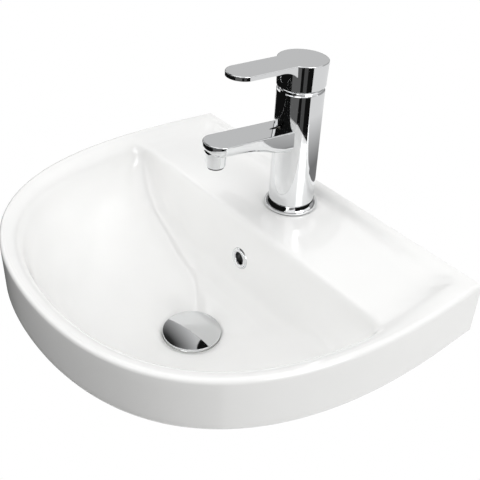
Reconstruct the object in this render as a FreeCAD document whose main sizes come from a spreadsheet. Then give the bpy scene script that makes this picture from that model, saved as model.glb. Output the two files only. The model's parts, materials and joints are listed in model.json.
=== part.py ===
"""Wall-hung ceramic basin with a single-lever mixer, a click waste and an overflow ring.

Frame: +Z up, the wall is the plane y = 0, the bowl stands out towards -Y, and the origin lies on
the wall midway between the two fixing holes. All lengths are millimetres, angles are degrees.
"""
import FreeCAD
import Part
import Sketcher
import math
import os
import re
from types import SimpleNamespace

SIZES = {
    # Plan and skirt of the ceramic
    "overall_width": 450.0,
    "side_swell": 7.5,
    "overall_depth": 354.0,
    "widest_setback": 109.0,
    "skirt_height": 57.0,
    "skirt_wall": 13.0,
    "skirt_foot_radius": 4.0,
    "rim_width": 17.0,
    "rim_outer_radius": 7.0,
    "rim_inner_radius": 9.0,
    "back_rim_width": 9.0,
    # Tap ledge and bowl
    "ledge_drop": 9.0,
    "ledge_setback": 107.0,
    "ledge_lip_radius": 4.0,
    "ledge_corner_radius": 14.0,
    "wall_lean": 4.0,
    "cove_radius": 8.0,
    "deck_thickness": 14.0,
    "bowl_depth": 133.0,
    "bowl_wall": 9.0,
    "seat_radius": 34.0,
    # Wall panel, webs and fixings
    "rim_above_fixings": 70.0,
    "fixing_spacing": 200.0,
    "fixing_hole_radius": 7.0,
    "panel_width": 300.0,
    "panel_thickness": 14.0,
    "panel_drop": 132.0,
    "panel_corner_radius": 20.0,
    "web_spacing": 236.0,
    "web_thickness": 12.0,
    # Overflow
    "overflow_drop": 57.5,
    "overflow_hole_radius": 9.5,
    "overflow_ring_radius": 12.2,
    "overflow_ring_bore": 6.8,
    "overflow_ring_lip": 2.4,
    "overflow_ring_outer_round": 3.12,
    "overflow_ring_inner_round": 2.52,
    "overflow_sleeve_length": 9.0,
    "duct_width": 34.0,
    "duct_depth": 14.0,
    "duct_wall": 8.0,
    "duct_headroom": 16.0,
    # Waste
    "waste_setback": 172.7,
    "boss_radius": 36.0,
    "boss_height": 40.0,
    "waste_bore_radius": 23.0,
    "waste_pipe_radius": 20.95,
    "waste_pipe_wall": 2.9,
    "waste_pipe_length": 88.0,
    "outlet_thread_length": 28.0,
    "thread_relief_width": 2.5,
    "thread_relief_depth": 0.8,
    "waste_flange_radius": 31.0,
    "waste_flange_thickness": 2.5,
    "waste_recess_margin": 1.0,
    "top_seal_thickness": 2.0,
    "slot_width": 18.0,
    "slot_top": 14.0,
    "slot_height": 14.0,
    "lower_seal_thickness": 5.0,
    "slip_washer_thickness": 2.0,
    "backnut_thickness": 10.0,
    "backnut_flats": 56.0,
    "under_boss_radius": 31.0,
    # Click mechanism
    "spider_top": 27.0,
    "spider_height": 6.0,
    "spider_bar_width": 9.0,
    "spider_hub_radius": 9.0,
    "click_housing_radius": 8.0,
    "click_housing_bore": 6.0,
    "click_housing_height": 22.0,
    "click_collar_height": 2.0,
    "plug_rod_radius": 3.5,
    "plug_rod_tail": 3.0,
    "rod_shoulder_radius": 5.6,
    "rod_shoulder_height": 2.0,
    "cam_height": 2.0,
    "spring_wire_radius": 0.45,
    "spring_height": 7.2,
    "spring_coil_radius": 4.8,
    "cap_radius": 32.5,
    "cap_gap": 0.8,
    "cap_edge_height": 2.2,
    "cap_edge_round": 0.73,
    "cap_foot_chamfer": 0.55,
    "cap_dome_rise": 1.6,
    "cap_recess_depth": 1.0,
    "cap_recess_radius": 29.5,
    "cap_hub_radius": 7.0,
    "plug_seal_inner_radius": 24.0,
    "plug_seal_radius": 28.5,
    # Tap body and spout
    "tap_setback": 44.5,
    "tap_hole_radius": 17.5,
    "tap_radius": 24.0,
    "tap_height": 134.0,
    "spigot_radius": 16.0,
    "spigot_drop": 8.0,
    "base_seal_thickness": 1.2,
    "base_ring_radius": 28.5,
    "base_ring_lip": 2.0,
    "base_ring_height": 8.0,
    "base_ring_cove": 5.0,
    "spout_width": 33.0,
    "spout_reach": 97.5,
    "spout_root_top": 95.0,
    "spout_tip_top": 103.0,
    "spout_root_depth": 36.0,
    "spout_mid_depth": 20.0,
    "spout_tip_depth": 16.0,
    "spout_root_side": 20.0,
    "spout_mid_side": 8.0,
    "spout_tip_side": 3.0,
    "spout_edge_radius": 1.2,
    "nozzle_radius": 9.6,
    "nozzle_forward": 4.0,
    "nozzle_bottom": 78.0,
    "nozzle_bore_radius": 8.4,
    "nozzle_bore_depth": 10.0,
    "waterway_radius": 4.0,
    "waterway_rise": 6.0,
    "inlet_radius": 5.0,
    "inlet_depth": 14.0,
    "inlet_spacing": 16.0,
    "inlet_forward": 4.0,
    # Cartridge
    "chamber_floor": 76.0,
    "chamber_radius": 17.7,
    "nut_bore_radius": 19.5,
    "nut_seat": 112.0,
    "cartridge_radius": 17.5,
    "cartridge_bore": 14.6,
    "cartridge_base_height": 7.0,
    "port_radius": 2.6,
    "port_circle_radius": 7.5,
    "port_seal_radius": 4.0,
    "port_seal_depth": 1.2,
    "disc_thickness": 4.0,
    "fixed_disc_radius": 14.2,
    "moving_disc_radius": 10.8,
    "carrier_height": 15.0,
    "carrier_radius": 10.6,
    "carrier_pocket_depth": 8.0,
    "rotor_flange_height": 4.5,
    "rotor_neck_radius": 10.5,
    "rotor_height": 17.0,
    "rotor_slot_length": 18.0,
    "housing_lip_height": 2.5,
    "pivot_height": 112.5,
    "pivot_pin_radius": 2.0,
    "pivot_pin_length": 19.0,
    "lever_arm": 10.0,
    "spindle_tip_radius": 3.2,
    "spindle_width": 8.0,
    "spindle_neck_width": 4.0,
    "nut_thickness": 12.0,
    "nut_opening_radius": 13.5,
    # Trim ring, hub and lever
    "trim_ring_radius": 22.6,
    "trim_ring_height": 3.6,
    "trim_ring_edge": 1.2,
    "trim_ring_crown": 4.0,
    "joint_gap": 4.5,
    "hub_radius": 24.5,
    "hub_top_radius": 25.6,
    "hub_top": 164.5,
    "hub_wall": 3.8,
    "hub_roof": 143.5,
    "hub_edge_radius": 0.8,
    "lever_width": 32.0,
    "lever_reach": 90.0,
    "lever_rise": 4.6,
    "lever_tip_thickness": 4.2,
    "lever_root_thickness": 5.0,
    "lever_swoop_start": 42.0,
    "lever_swoop_foot": 153.0,
    "lever_edge_radius": 1.0,
    "socket_top": 157.0,
    "grub_height": 148.0,
    "grub_radius": 2.5,
    "index_plug_radius": 3.2,
    "index_plug_depth": 2.6,
    # Aerator
    "aerator_height": 10.5,
    "aerator_wall": 1.6,
    "aerator_washer_height": 1.5,
    "aerator_grid_recess": 1.4,
    "aerator_grid_hole": 0.8,
    "aerator_grid_radius": 4.6,
    # Fixing under the deck
    "stud_radius": 4.0,
    "stud_back": 10.0,
    "stud_length": 66.0,
    "horseshoe_radius": 25.0,
    "horseshoe_slot_width": 28.0,
    "horseshoe_slot_back": 4.5,
    "horseshoe_seal_thickness": 3.0,
    "horseshoe_plate_thickness": 2.5,
    "fixing_nut_flats": 13.0,
    "fixing_nut_height": 10.0,
    # Fits
    "sliding_fit": 0.3,
    "running_fit": 0.05,
    "overrun": 6.0,
}

# Handles of the plan's curves, as shares of the stretch that each curve covers
SIDE_HANDLE_SHARES = (0.1, 0.5)
FRONT_HANDLE_SHARES = (0.43, 0.86)
ROUND_HANDLE_SHARE = 0.5523
# Rows of the bowl: share of its depth, share of the way out from the waste seat to the rim
BOWL_ROW_SHARES = (
    (-0.05, 1.006),
    (0.0, 1.0),
    (0.068, 0.985),
    (0.3, 0.908),
    (0.53, 0.769),
    (0.71, 0.578),
    (0.82, 0.347),
    (0.9, 0.162),
    (0.952, 0.064),
    (1.0, 0.0),
)
SPRING_TURNS = 5
GRID_COUNT = 8
SPOUT_MID_SHARE = 0.5
SWOOP_BEND_SHARES = (0.667, 0.333)
BEZIER_DEPTH_SHARE = 0.75
TINY_SHARE = 0.001

doc = FreeCAD.newDocument("wall_hung_basin")
sheet = doc.addObject("Spreadsheet::Sheet", "Sizes")
for row, (name, value) in enumerate(SIZES.items(), start=1):
    sheet.set(f"A{row}", name)
    sheet.set(f"B{row}", str(value))
    sheet.setAlias(f"B{row}", name)
doc.recompute()
d = SimpleNamespace(**{name: float(sheet.get(name)) for name in SIZES})
tiny = d.overrun * TINY_SHARE
pieces = []


def bound(text):
    """Writes the sheet's name in front of each size in an expression."""
    return re.sub(r"[a-z_]{3,}", lambda word: f"Sizes.{word.group()}" if word.group() in SIZES
                  else word.group(), text)


def number(text):
    """Works out an expression of sizes."""
    return float(sheet.evalExpression(bound(text)))


def point(x, y, z=0.0):
    """Shortens the name of a vector."""
    return FreeCAD.Vector(x, y, z)


# Places of the groups, as expressions for x, y and z
TAP_PLACE = ("0", "-tap_setback", "rim_above_fixings - ledge_drop")
WASTE_PLACE = ("0", "-waste_setback", "rim_above_fixings - bowl_depth")
RIM_PLACE = ("0", "0", "rim_above_fixings")


def put(item, place):
    """Binds an object's position to the sheet."""
    for axis, text in zip("xyz", place):
        item.setExpression(f"Placement.Base.{axis}", bound(text))


def new_body(label, place):
    """Starts a body of the part at a bound position."""
    body = doc.addObject("PartDesign::Body", label)
    body.Label = label
    put(body, place)
    pieces.append(body)
    return body


def draw(body, name, plane, corners, level="0"):
    """Draws a closed outline through corners bound to the sheet.

    A corner is two expressions, and a third one makes the side that leaves it an arc of that radius,
    bulging to the right of its direction, or to the left where the expression starts with a minus.
    """
    sketch = body.newObject("Sketcher::SketchObject", f"{body.Label}_{name}")
    origin_plane = [item for item in body.Origin.OriginFeatures if item.Role == plane][0]
    sketch.AttachmentSupport = (origin_plane, [""])
    sketch.MapMode = "FlatFace"
    sketch.setExpression("AttachmentOffset.Base.z", bound(level))
    spots = [point(number(corner[0]), number(corner[1])) for corner in corners]
    for index, corner in enumerate(corners):
        start = spots[index]
        end = spots[(index + 1) % len(spots)]
        if len(corner) == 2:
            sketch.addGeometry(Part.LineSegment(start, end), False)
            continue
        radius = number(corner[2])
        chord = end - start
        sagitta = abs(radius) - math.sqrt(radius ** 2 - (chord.Length / 2) ** 2)
        aside = point(chord.y, -chord.x).normalize() * math.copysign(sagitta, radius)
        sketch.addGeometry(Part.Arc(start, (start + end) / 2 + aside, end), False)

    def end_at(side, spot):
        near_start = (sketch.getPoint(side, 1) - spot).Length < tiny
        return 1 if near_start else 2

    for index, corner in enumerate(corners):
        spot = spots[index]
        before = index - 1 if index else len(corners) - 1
        here = end_at(index, spot)
        sketch.addConstraint(Sketcher.Constraint("Coincident", before, end_at(before, spot), index, here))
        for kind, text, length in (("DistanceX", corner[0], spot.x), ("DistanceY", corner[1], spot.y)):
            rule = sketch.addConstraint(Sketcher.Constraint(kind, -1, 1, index, here, length))
            sketch.setExpression(f"Constraints[{rule}]", bound(text))
        if len(corner) == 3:
            rule = sketch.addConstraint(Sketcher.Constraint("Radius", index, abs(number(corner[2]))))
            sketch.setExpression(f"Constraints[{rule}]", bound(corner[2].lstrip("-")))
    return sketch


def circles(body, name, spots, level="0"):
    """Draws circles on the level plane, each given by the expressions of its x, y and radius."""
    sketch = body.newObject("Sketcher::SketchObject", f"{body.Label}_{name}")
    origin_plane = [item for item in body.Origin.OriginFeatures if item.Role == "XY_Plane"][0]
    sketch.AttachmentSupport = (origin_plane, [""])
    sketch.MapMode = "FlatFace"
    sketch.setExpression("AttachmentOffset.Base.z", bound(level))
    for index, (x, y, radius) in enumerate(spots):
        centre = point(number(x), number(y))
        sketch.addGeometry(Part.Circle(centre, point(0, 0, 1), number(radius)), False)
        rule = sketch.addConstraint(Sketcher.Constraint("Radius", index, number(radius)))
        sketch.setExpression(f"Constraints[{rule}]", bound(radius))
        for kind, text, length in (("DistanceX", x, centre.x), ("DistanceY", y, centre.y)):
            rule = sketch.addConstraint(Sketcher.Constraint(kind, -1, 1, index, 3, length))
            sketch.setExpression(f"Constraints[{rule}]", bound(text))
    return sketch


def turned(label, place, *corners):
    """Turns an outline of radius and height about the piece's own vertical axis."""
    body = new_body(label, place)
    profile = draw(body, "profile", "XZ_Plane", corners)
    turn = body.newObject("PartDesign::Revolution", f"{label}_turn")
    turn.Profile = profile
    turn.ReferenceAxis = (profile, ["V_Axis"])
    turn.Angle = 360
    return body


def add_pad(body, name, sketch, height):
    """Raises an outline by a bound height."""
    pad = body.newObject("PartDesign::Pad", f"{body.Label}_{name}")
    pad.Profile = sketch
    pad.setExpression("Length", bound(height))
    return body


def cut_through(body, name, sketch, both_ways=True):
    """Cuts an outline right through a body."""
    pocket = body.newObject("PartDesign::Pocket", f"{body.Label}_{name}")
    pocket.Profile = sketch
    pocket.Type = "ThroughAll"
    pocket.Midplane = both_ways
    return body


def rectangle(width, depth):
    """Gives the corners of a rectangle about the middle."""
    return ((f"-({width}) / 2", f"-({depth}) / 2"), (f"({width}) / 2", f"-({depth}) / 2"),
            (f"({width}) / 2", f"({depth}) / 2"), (f"-({width}) / 2", f"({depth}) / 2"))


def ring(label, place, inner, outer, bottom, top):
    """Turns a plain ring between two radii and two levels."""
    return turned(label, place, (inner, bottom), (outer, bottom), (outer, top), (inner, top))


def disc(label, place, radius, bottom, top):
    """Turns a plain disc between two levels."""
    return turned(label, place, ("0", bottom), (radius, bottom), (radius, top), ("0", top))


def made(label, place, shape):
    """Adds a piece whose form is worked out in code, at a bound position."""
    piece = doc.addObject("Part::Feature", label)
    piece.Label = label
    piece.Shape = shape
    put(piece, place)
    pieces.append(piece)
    return piece


def post(radius, bottom, top, x=0.0, y=0.0):
    """Returns an upright cylinder between two levels."""
    return Part.makeCylinder(radius, top - bottom, point(x, y, bottom))


def cut_all(shape, tools):
    """Cuts a shape by each tool in turn."""
    for tool in tools:
        shape = shape.cut(tool)
    return shape


def slab(outline, thickness):
    """Extrudes an outline in the (y, z) plane to both sides of the mid-plane."""
    corners = [point(-thickness / 2, y, z) for y, z in outline]
    face = Part.Face(Part.makePolygon(corners + corners[:1]))
    return face.extrude(point(thickness, 0, 0))


# Ceramic basin, with levels counted from the top of the rim

def curve(*poles):
    """Returns the edge of a Bezier curve."""
    bezier = Part.BezierCurve()
    bezier.setPoles([point(*pole) for pole in poles])
    return bezier.toShape()


def mirrored(edge_poles):
    """Returns a curve's poles on the other side of the mid-plane, run the other way."""
    return [(-x, y, z) for x, y, z in reversed(edge_poles)]


def blend(share, start, end):
    """Moves from one value to another by a share."""
    return start + share * (end - start)


def plan(half_width, half_back, back, widest, front, corner, level, squareness=1.0):
    """Joins the D-shaped plan at one level: straight back, swelling sides, round front.

    The distances back, widest and front count out from the wall. A squareness of zero turns the
    front into a half ellipse.
    """
    side_run = widest - back - corner
    front_run = front - widest
    first, second = (blend(squareness, ROUND_HANDLE_SHARE, share) for share in FRONT_HANDLE_SHARES)
    right = []
    if corner:
        reach = corner * ROUND_HANDLE_SHARE
        inside = half_back - corner
        right.append([(inside, -back, level), (inside + reach, -back, level),
                      (half_back, -back - corner + reach, level), (half_back, -back - corner, level)])
    right.append([(half_back, -back - corner, level),
                  (half_back, -back - corner - SIDE_HANDLE_SHARES[0] * side_run, level),
                  (half_width, -widest + SIDE_HANDLE_SHARES[1] * side_run, level),
                  (half_width, -widest, level)])
    right.append([(half_width, -widest, level), (half_width, -widest - first * front_run, level),
                  (second * half_width, -front, level), (0, -front, level)])
    left = [mirrored(poles) for poles in reversed(right)]
    start = right[0][0]
    back_line = Part.makeLine(point(-start[0], start[1], level), point(*start))
    return Part.Wire([back_line] + [curve(*poles) for poles in right + left])


def outer_plan(inset, back, level):
    """Returns the plan of the outside, drawn in by an inset and by a distance from the wall."""
    return plan(d.overall_width / 2 - inset, d.overall_width / 2 - d.side_swell - inset, back, d.widest_setback,
                d.overall_depth - inset, 0, level)


def bowl_solid(grow, drop):
    """Lofts the bowl from the rim down to the round waste seat, or its outside when grown."""
    wires = []
    rim_half = d.overall_width / 2 - d.rim_width
    rim_back_half = rim_half - d.side_swell
    for depth_share, out_share in BOWL_ROW_SHARES:
        seat = d.seat_radius + grow
        half = blend(out_share, seat, rim_half + grow)
        half_back = blend(out_share, seat, rim_back_half + grow)
        back = blend(out_share, d.waste_setback - seat, d.back_rim_width - grow)
        widest = blend(out_share, d.waste_setback, d.widest_setback)
        front = blend(out_share, d.waste_setback + seat, d.overall_depth - d.rim_width + grow)
        corner = blend(out_share, (widest - back) * ROUND_HANDLE_SHARE, d.ledge_corner_radius)
        wires.append(plan(half, half_back, back, widest, front, corner,
                          -depth_share * (d.bowl_depth + drop), max(0.0, min(1.0, out_share))))
    return Part.makeLoft(wires, True, False)


def ledge_block(setback, top):
    """Returns the block behind and below the ledge's front edge, leaning into the bowl."""
    bottom = d.bowl_depth + d.boss_height + d.overrun
    foot = setback + (bottom - top) * math.tan(math.radians(d.wall_lean))
    block = slab([(-setback, -top), (d.overrun, -top), (d.overrun, -bottom), (-foot, -bottom)],
                 d.overall_width + d.overrun)
    lip = [edge for edge in block.Edges
           if abs(edge.CenterOfMass.y + setback) < tiny and abs(edge.CenterOfMass.z + top) < tiny]
    return block.makeFillet(d.ledge_lip_radius, lip)


def bowl_hollow():
    """Returns the space of the bowl and the ledge, with coves where the ledge meets the sides."""
    ledge = ledge_block(d.ledge_setback, d.ledge_drop)
    hollow = bowl_solid(0, 0).cut(ledge)

    def on_ledge(face):
        low_u, high_u, low_v, high_v = face.ParameterRange
        spot = face.valueAt((low_u + high_u) / 2, (low_v + high_v) / 2)
        return ledge.distToShape(Part.Vertex(spot))[0] < tiny

    seated = [face for face in hollow.Faces if on_ledge(face)]
    open_edges = [edge for face in hollow.Faces if not on_ledge(face) for edge in face.Edges]
    coves = [edge for face in seated for edge in face.Edges
             if any(edge.isSame(other) for other in open_edges)]
    return hollow.makeFillet(d.cove_radius, coves)


def skirted_block():
    """Extrudes the plan down to the skirt's foot and rounds its upper and lower edges."""
    block = Part.Face(outer_plan(0, 0, 0)).extrude(point(0, 0, -d.skirt_height))
    for level, radius in ((0, d.rim_outer_radius), (-d.skirt_height, d.skirt_foot_radius)):
        edges = [edge for edge in block.Edges
                 if abs(edge.BoundBox.ZMin - level) < tiny and abs(edge.BoundBox.ZMax - level) < tiny
                 and edge.BoundBox.YMin < -tiny]
        block = block.makeFillet(radius, edges)
    return block


def wall_at(drop):
    """Gives the bowl's back wall's distance from the wall of the room at a level below the rim."""
    return d.ledge_setback + (drop - d.ledge_drop) * math.tan(math.radians(d.wall_lean))


def duct_outline(margin):
    """Draws the overflow's way down behind the bowl and forward to the waste, grown by a margin."""
    top = d.overflow_drop - d.duct_headroom - margin
    slot_top = d.bowl_depth + d.slot_top
    bend = d.bowl_depth - d.bowl_wall
    bottom = slot_top + d.slot_height + margin
    near = d.bowl_wall - margin
    far = d.bowl_wall + d.duct_depth + margin
    return [(near - wall_at(top), -top), (near - wall_at(bend), -bend), (-d.waste_setback, -slot_top + margin),
            (-d.waste_setback, -bottom), (far - wall_at(bottom), -bottom), (far - wall_at(top), -top)]


def basin_shape():
    """Cuts the bowl out of the skirted block, over a shell, a wall panel, webs and the overflow duct."""
    underside = d.ledge_drop + d.deck_thickness
    low = d.bowl_depth + d.boss_height
    hollow = bowl_hollow()
    space = Part.Face(outer_plan(d.skirt_wall, d.panel_thickness, -low)).extrude(point(0, 0, low - underside))
    inside_deck = (d.ledge_drop + underside) / 2
    shell = bowl_solid(d.bowl_wall, d.bowl_wall)
    shell = shell.cut(ledge_block(d.ledge_setback - d.bowl_wall, underside - d.overrun))
    shell = shell.common(Part.makeBox(d.overall_width, d.overall_depth, low,
                                      point(-d.overall_width / 2, -d.overall_depth, -inside_deck - low)))
    panel = Part.makeBox(d.panel_width, d.panel_thickness, d.panel_drop - inside_deck,
                         point(-d.panel_width / 2, -d.panel_thickness, -d.panel_drop))
    feet = [edge for edge in panel.Edges
            if abs(edge.CenterOfMass.z + d.panel_drop) < tiny and edge.BoundBox.XLength < tiny]
    panel = panel.makeFillet(d.panel_corner_radius, feet)
    behind = d.bowl_wall - wall_at(d.overflow_drop)
    web_foot = d.panel_drop - d.panel_corner_radius
    web = slab([(-d.panel_thickness / 2, -inside_deck), (behind, -inside_deck),
                (behind, -d.overflow_drop), (-d.panel_thickness / 2, -web_foot)], d.web_thickness)
    boss = post(d.boss_radius, -low, -d.bowl_depth + d.overrun, y=-d.waste_setback)
    duct = slab(duct_outline(d.duct_wall), d.duct_width + 2 * d.duct_wall)
    webs = [web.translated(point(side * d.web_spacing / 2, 0, 0)) for side in (-1, 1)]
    body = skirted_block().cut(space).multiFuse([shell, panel, boss, duct] + webs)

    recess = d.waste_flange_thickness + d.top_seal_thickness
    lean = math.radians(d.wall_lean)
    out_of_wall = point(0, -math.cos(lean), math.sin(lean))
    mouth = point(0, -wall_at(d.overflow_drop), -d.overflow_drop)
    overflow_hole = Part.makeCylinder(d.overflow_hole_radius, d.bowl_wall + d.duct_depth / 2 + d.overrun,
                                      mouth + out_of_wall * d.overrun, -out_of_wall)
    cuts = [
        hollow,
        slab(duct_outline(0), d.duct_width),
        post(d.waste_bore_radius, -low - d.overrun, -d.bowl_depth + d.overrun, y=-d.waste_setback),
        post(d.waste_flange_radius + d.waste_recess_margin, -d.bowl_depth - recess,
             -d.bowl_depth + d.overrun, y=-d.waste_setback),
        post(d.tap_hole_radius, -underside - d.overrun, -d.ledge_drop + d.overrun, y=-d.tap_setback),
        overflow_hole,
    ]
    for side in (-1, 1):
        cuts.append(Part.makeCylinder(d.fixing_hole_radius, d.panel_thickness + 2 * d.overrun,
                                      point(side * d.fixing_spacing / 2, d.overrun, -d.rim_above_fixings),
                                      point(0, -1, 0)))
    body = cut_all(body, cuts).removeSplitter()
    top = [face for face in body.Faces
           if abs(face.BoundBox.ZMin) < tiny and abs(face.BoundBox.ZMax) < tiny]
    crest = [edge for face in top for wire in face.Wires if not wire.isSame(face.OuterWire)
             for edge in wire.Edges]
    return body.makeFillet(d.rim_inner_radius, crest)


def overflow_ring():
    """Turns the push-in ring of the overflow and leans it with the bowl's back wall."""
    seat = "(ledge_setback + (overflow_drop - ledge_drop) * tan(wall_lean * 1 deg))"
    body = turned("overflow_ring", ("0", f"-{seat}", "rim_above_fixings - overflow_drop"),
                  ("overflow_ring_bore", "0 - overflow_sleeve_length"),
                  ("overflow_hole_radius - running_fit", "0 - overflow_sleeve_length"),
                  ("overflow_hole_radius - running_fit", "0"),
                  ("overflow_ring_radius", "0", "overflow_ring_outer_round"),
                  ("overflow_ring_bore + overflow_ring_lip", "overflow_ring_lip", "overflow_ring_inner_round"),
                  ("overflow_ring_bore", "0"))
    body.Placement = FreeCAD.Placement(body.Placement.Base, FreeCAD.Rotation(point(1, 0, 0), 90))
    body.setExpression("Placement.Rotation.Angle", bound("(90 - wall_lean) * 1 deg"))


# Waste, with levels counted from its seat

def waste():
    """Builds the slotted waste, its seals and the nut that clamps it to the boss."""
    inner = "(waste_pipe_radius - waste_pipe_wall)"
    recess = "(waste_flange_thickness + top_seal_thickness)"
    relief_low = "(outlet_thread_length - waste_pipe_length)"
    relief_high = f"({relief_low} + thread_relief_width)"
    body = turned("waste_body", WASTE_PLACE,
                  (inner, "0 - waste_pipe_length"),
                  ("waste_pipe_radius", "0 - waste_pipe_length"),
                  ("waste_pipe_radius", relief_low),
                  ("waste_pipe_radius - thread_relief_depth", relief_low),
                  ("waste_pipe_radius - thread_relief_depth", relief_high),
                  ("waste_pipe_radius", relief_high),
                  ("waste_pipe_radius", "0 - waste_flange_thickness"),
                  ("waste_flange_radius", "0 - waste_flange_thickness"),
                  ("waste_flange_radius", "0 - waste_flange_thickness / 2"),
                  ("waste_flange_radius - waste_flange_thickness / 2", "0"),
                  (f"{inner} + waste_flange_thickness", "0"),
                  (inner, "0 - waste_flange_thickness"))
    doc.recompute()
    slot = draw(body, "slot", "XZ_Plane",
                (("-slot_width / 2", "-(slot_top + slot_height)"),
                 ("slot_width / 2", "-(slot_top + slot_height)"),
                 ("slot_width / 2", "-slot_top"), ("-slot_width / 2", "-slot_top")))
    cut_through(body, "slots", slot)
    level = "-(spider_top + spider_height)"
    bar = draw(body, "bar", "XY_Plane", rectangle(f"2 * {inner} + waste_pipe_wall", "spider_bar_width"), level)
    add_pad(body, "spider_bar", bar, "spider_height")
    hub = circles(body, "hub", [("0", "0", "spider_hub_radius")], level)
    add_pad(body, "spider_hub", hub, "spider_height")
    doc.recompute()
    bore = circles(body, "bore", [("0", "0", "plug_rod_radius + sliding_fit")])
    cut_through(body, "spider_bore", bore)

    under = "boss_height"
    loose = "waste_pipe_radius + sliding_fit"
    ring("waste_top_seal", WASTE_PLACE, loose, "waste_flange_radius",
         f"-{recess}", "0 - waste_flange_thickness")
    turned("waste_lower_seal", WASTE_PLACE,
           (loose, f"-({under} + lower_seal_thickness)"),
           ("under_boss_radius", f"-({under} + lower_seal_thickness)"),
           ("under_boss_radius - lower_seal_thickness / 2", f"-{under}"),
           (loose, f"-{under}"))
    washer_top = f"({under} + lower_seal_thickness)"
    ring("waste_slip_washer", WASTE_PLACE, loose, "under_boss_radius",
         f"-({washer_top} + slip_washer_thickness)", f"-{washer_top}")
    nut_top = f"({washer_top} + slip_washer_thickness)"
    hex_nut("waste_backnut", WASTE_PLACE, f"-({nut_top} + backnut_thickness)", "backnut_thickness",
            "backnut_flats", "waste_pipe_radius + running_fit")


def hex_nut(label, place, bottom, height, flats, bore):
    """Builds a hexagon nut: a prism with a round bore."""
    prism = doc.addObject("Part::Prism", f"{label}_hexagon")
    prism.Polygon = 6
    prism.setExpression("Circumradius", bound(f"{flats} / 2 / cos(30 deg)"))
    prism.setExpression("Height", bound(height))
    hole = doc.addObject("Part::Cylinder", f"{label}_bore")
    hole.setExpression("Radius", bound(bore))
    hole.setExpression("Height", bound(f"{height} + 2 * overrun"))
    put(hole, ("0", "0", "0 - overrun"))
    nut = doc.addObject("Part::Cut", label)
    nut.Label = label
    nut.Base = prism
    nut.Tool = hole
    put(nut, (place[0], place[1], f"{place[2]} + {bottom}"))
    pieces.append(nut)


def click_plug():
    """Builds the domed plug on its rod and the click housing, spring and cam below it."""
    roof = "(cap_gap + cap_recess_depth)"
    edge = "(cap_gap + cap_edge_height)"
    rod = "plug_rod_radius"
    dome_half = "(cap_radius - cap_edge_round)"
    dome_radius = f"({dome_half} * {dome_half} + cap_dome_rise * cap_dome_rise) / (2 * cap_dome_rise)"
    turned("plug_cap", WASTE_PLACE,
           (f"{rod} + running_fit", "0 - cap_gap"),
           ("cap_hub_radius", "0 - cap_gap"),
           ("cap_hub_radius", roof),
           ("cap_recess_radius", roof),
           ("cap_recess_radius", "cap_gap"),
           ("cap_radius - cap_foot_chamfer", "cap_gap"),
           ("cap_radius", "cap_gap + cap_foot_chamfer"),
           ("cap_radius", f"{edge} - cap_edge_round", "cap_edge_round"),
           (dome_half, edge, dome_radius),
           ("0", f"{edge} + cap_dome_rise"),
           ("0", edge),
           (f"{rod} + running_fit", edge))
    ring("plug_seal", WASTE_PLACE, "plug_seal_inner_radius", "plug_seal_radius", "sliding_fit", roof)
    shoulder_low = "-(spider_top - spring_height)"
    shoulder_high = f"({shoulder_low} + rod_shoulder_height)"
    turned("plug_rod", WASTE_PLACE,
           ("0", "-(spider_top + spider_height + plug_rod_tail)"),
           (rod, "-(spider_top + spider_height + plug_rod_tail)"),
           (rod, shoulder_low), ("rod_shoulder_radius", shoulder_low),
           ("rod_shoulder_radius", shoulder_high), (rod, shoulder_high),
           (rod, edge), ("0", edge))
    ring("click_cam", WASTE_PLACE, f"{rod} + running_fit", "rod_shoulder_radius",
         shoulder_high, f"{shoulder_high} + cam_height")
    top = "(click_housing_height - spider_top)"
    turned("click_housing", WASTE_PLACE,
           ("click_housing_bore", "-spider_top"), ("click_housing_radius", "-spider_top"),
           ("click_housing_radius", top), (f"{rod} + sliding_fit", top),
           (f"{rod} + sliding_fit", f"{top} - click_collar_height"),
           ("click_housing_bore", f"{top} - click_collar_height"))
    made("click_spring", WASTE_PLACE, spring_shape())


def spring_shape():
    """Winds the return spring as one pipe on quarter-turn arcs between the spider and the shoulder."""
    low = -d.spider_top + d.spring_wire_radius
    room = d.spring_height - 2 * d.spring_wire_radius
    quarters = SPRING_TURNS * 4
    radius = d.spring_coil_radius

    def spot(turn):
        angle = turn * math.pi / 2
        return point(radius * math.cos(angle), radius * math.sin(angle), low + room * turn / quarters)

    arcs = [Part.Arc(spot(step), spot(step + 0.5), spot(step + 1)).toShape() for step in range(quarters)]
    path = Part.Wire(arcs)
    start = arcs[0].tangentAt(arcs[0].FirstParameter)
    section = Part.Wire(Part.Circle(spot(0), start, d.spring_wire_radius).toShape())
    return path.makePipeShell([section], True, False)


# Tap, with levels counted from the ledge

def belly(half, depth):
    """Gives the poles of half a rounded underside, from its edge down to the middle."""
    pull = depth / BEZIER_DEPTH_SHARE
    return [(half, 0), (half, -pull / 2), (half / 2, -depth), (0, -depth)]


def spout_section(reach, top, depth, side):
    """Draws the spout across: upright sides that stand over its top, above a rounded belly."""
    half = d.spout_width / 2
    low = top - side
    high = top + d.overrun
    poles = [(x, -reach, low + z) for x, z in belly(half, depth - side)]
    corners = [point(x, -reach, z) for x, z in ((-half, low), (-half, high), (half, high), (half, low))]
    sides = [Part.makeLine(start, end) for start, end in zip(corners, corners[1:])]
    return Part.Wire([curve(*poles), curve(*mirrored(poles))] + sides)


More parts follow.
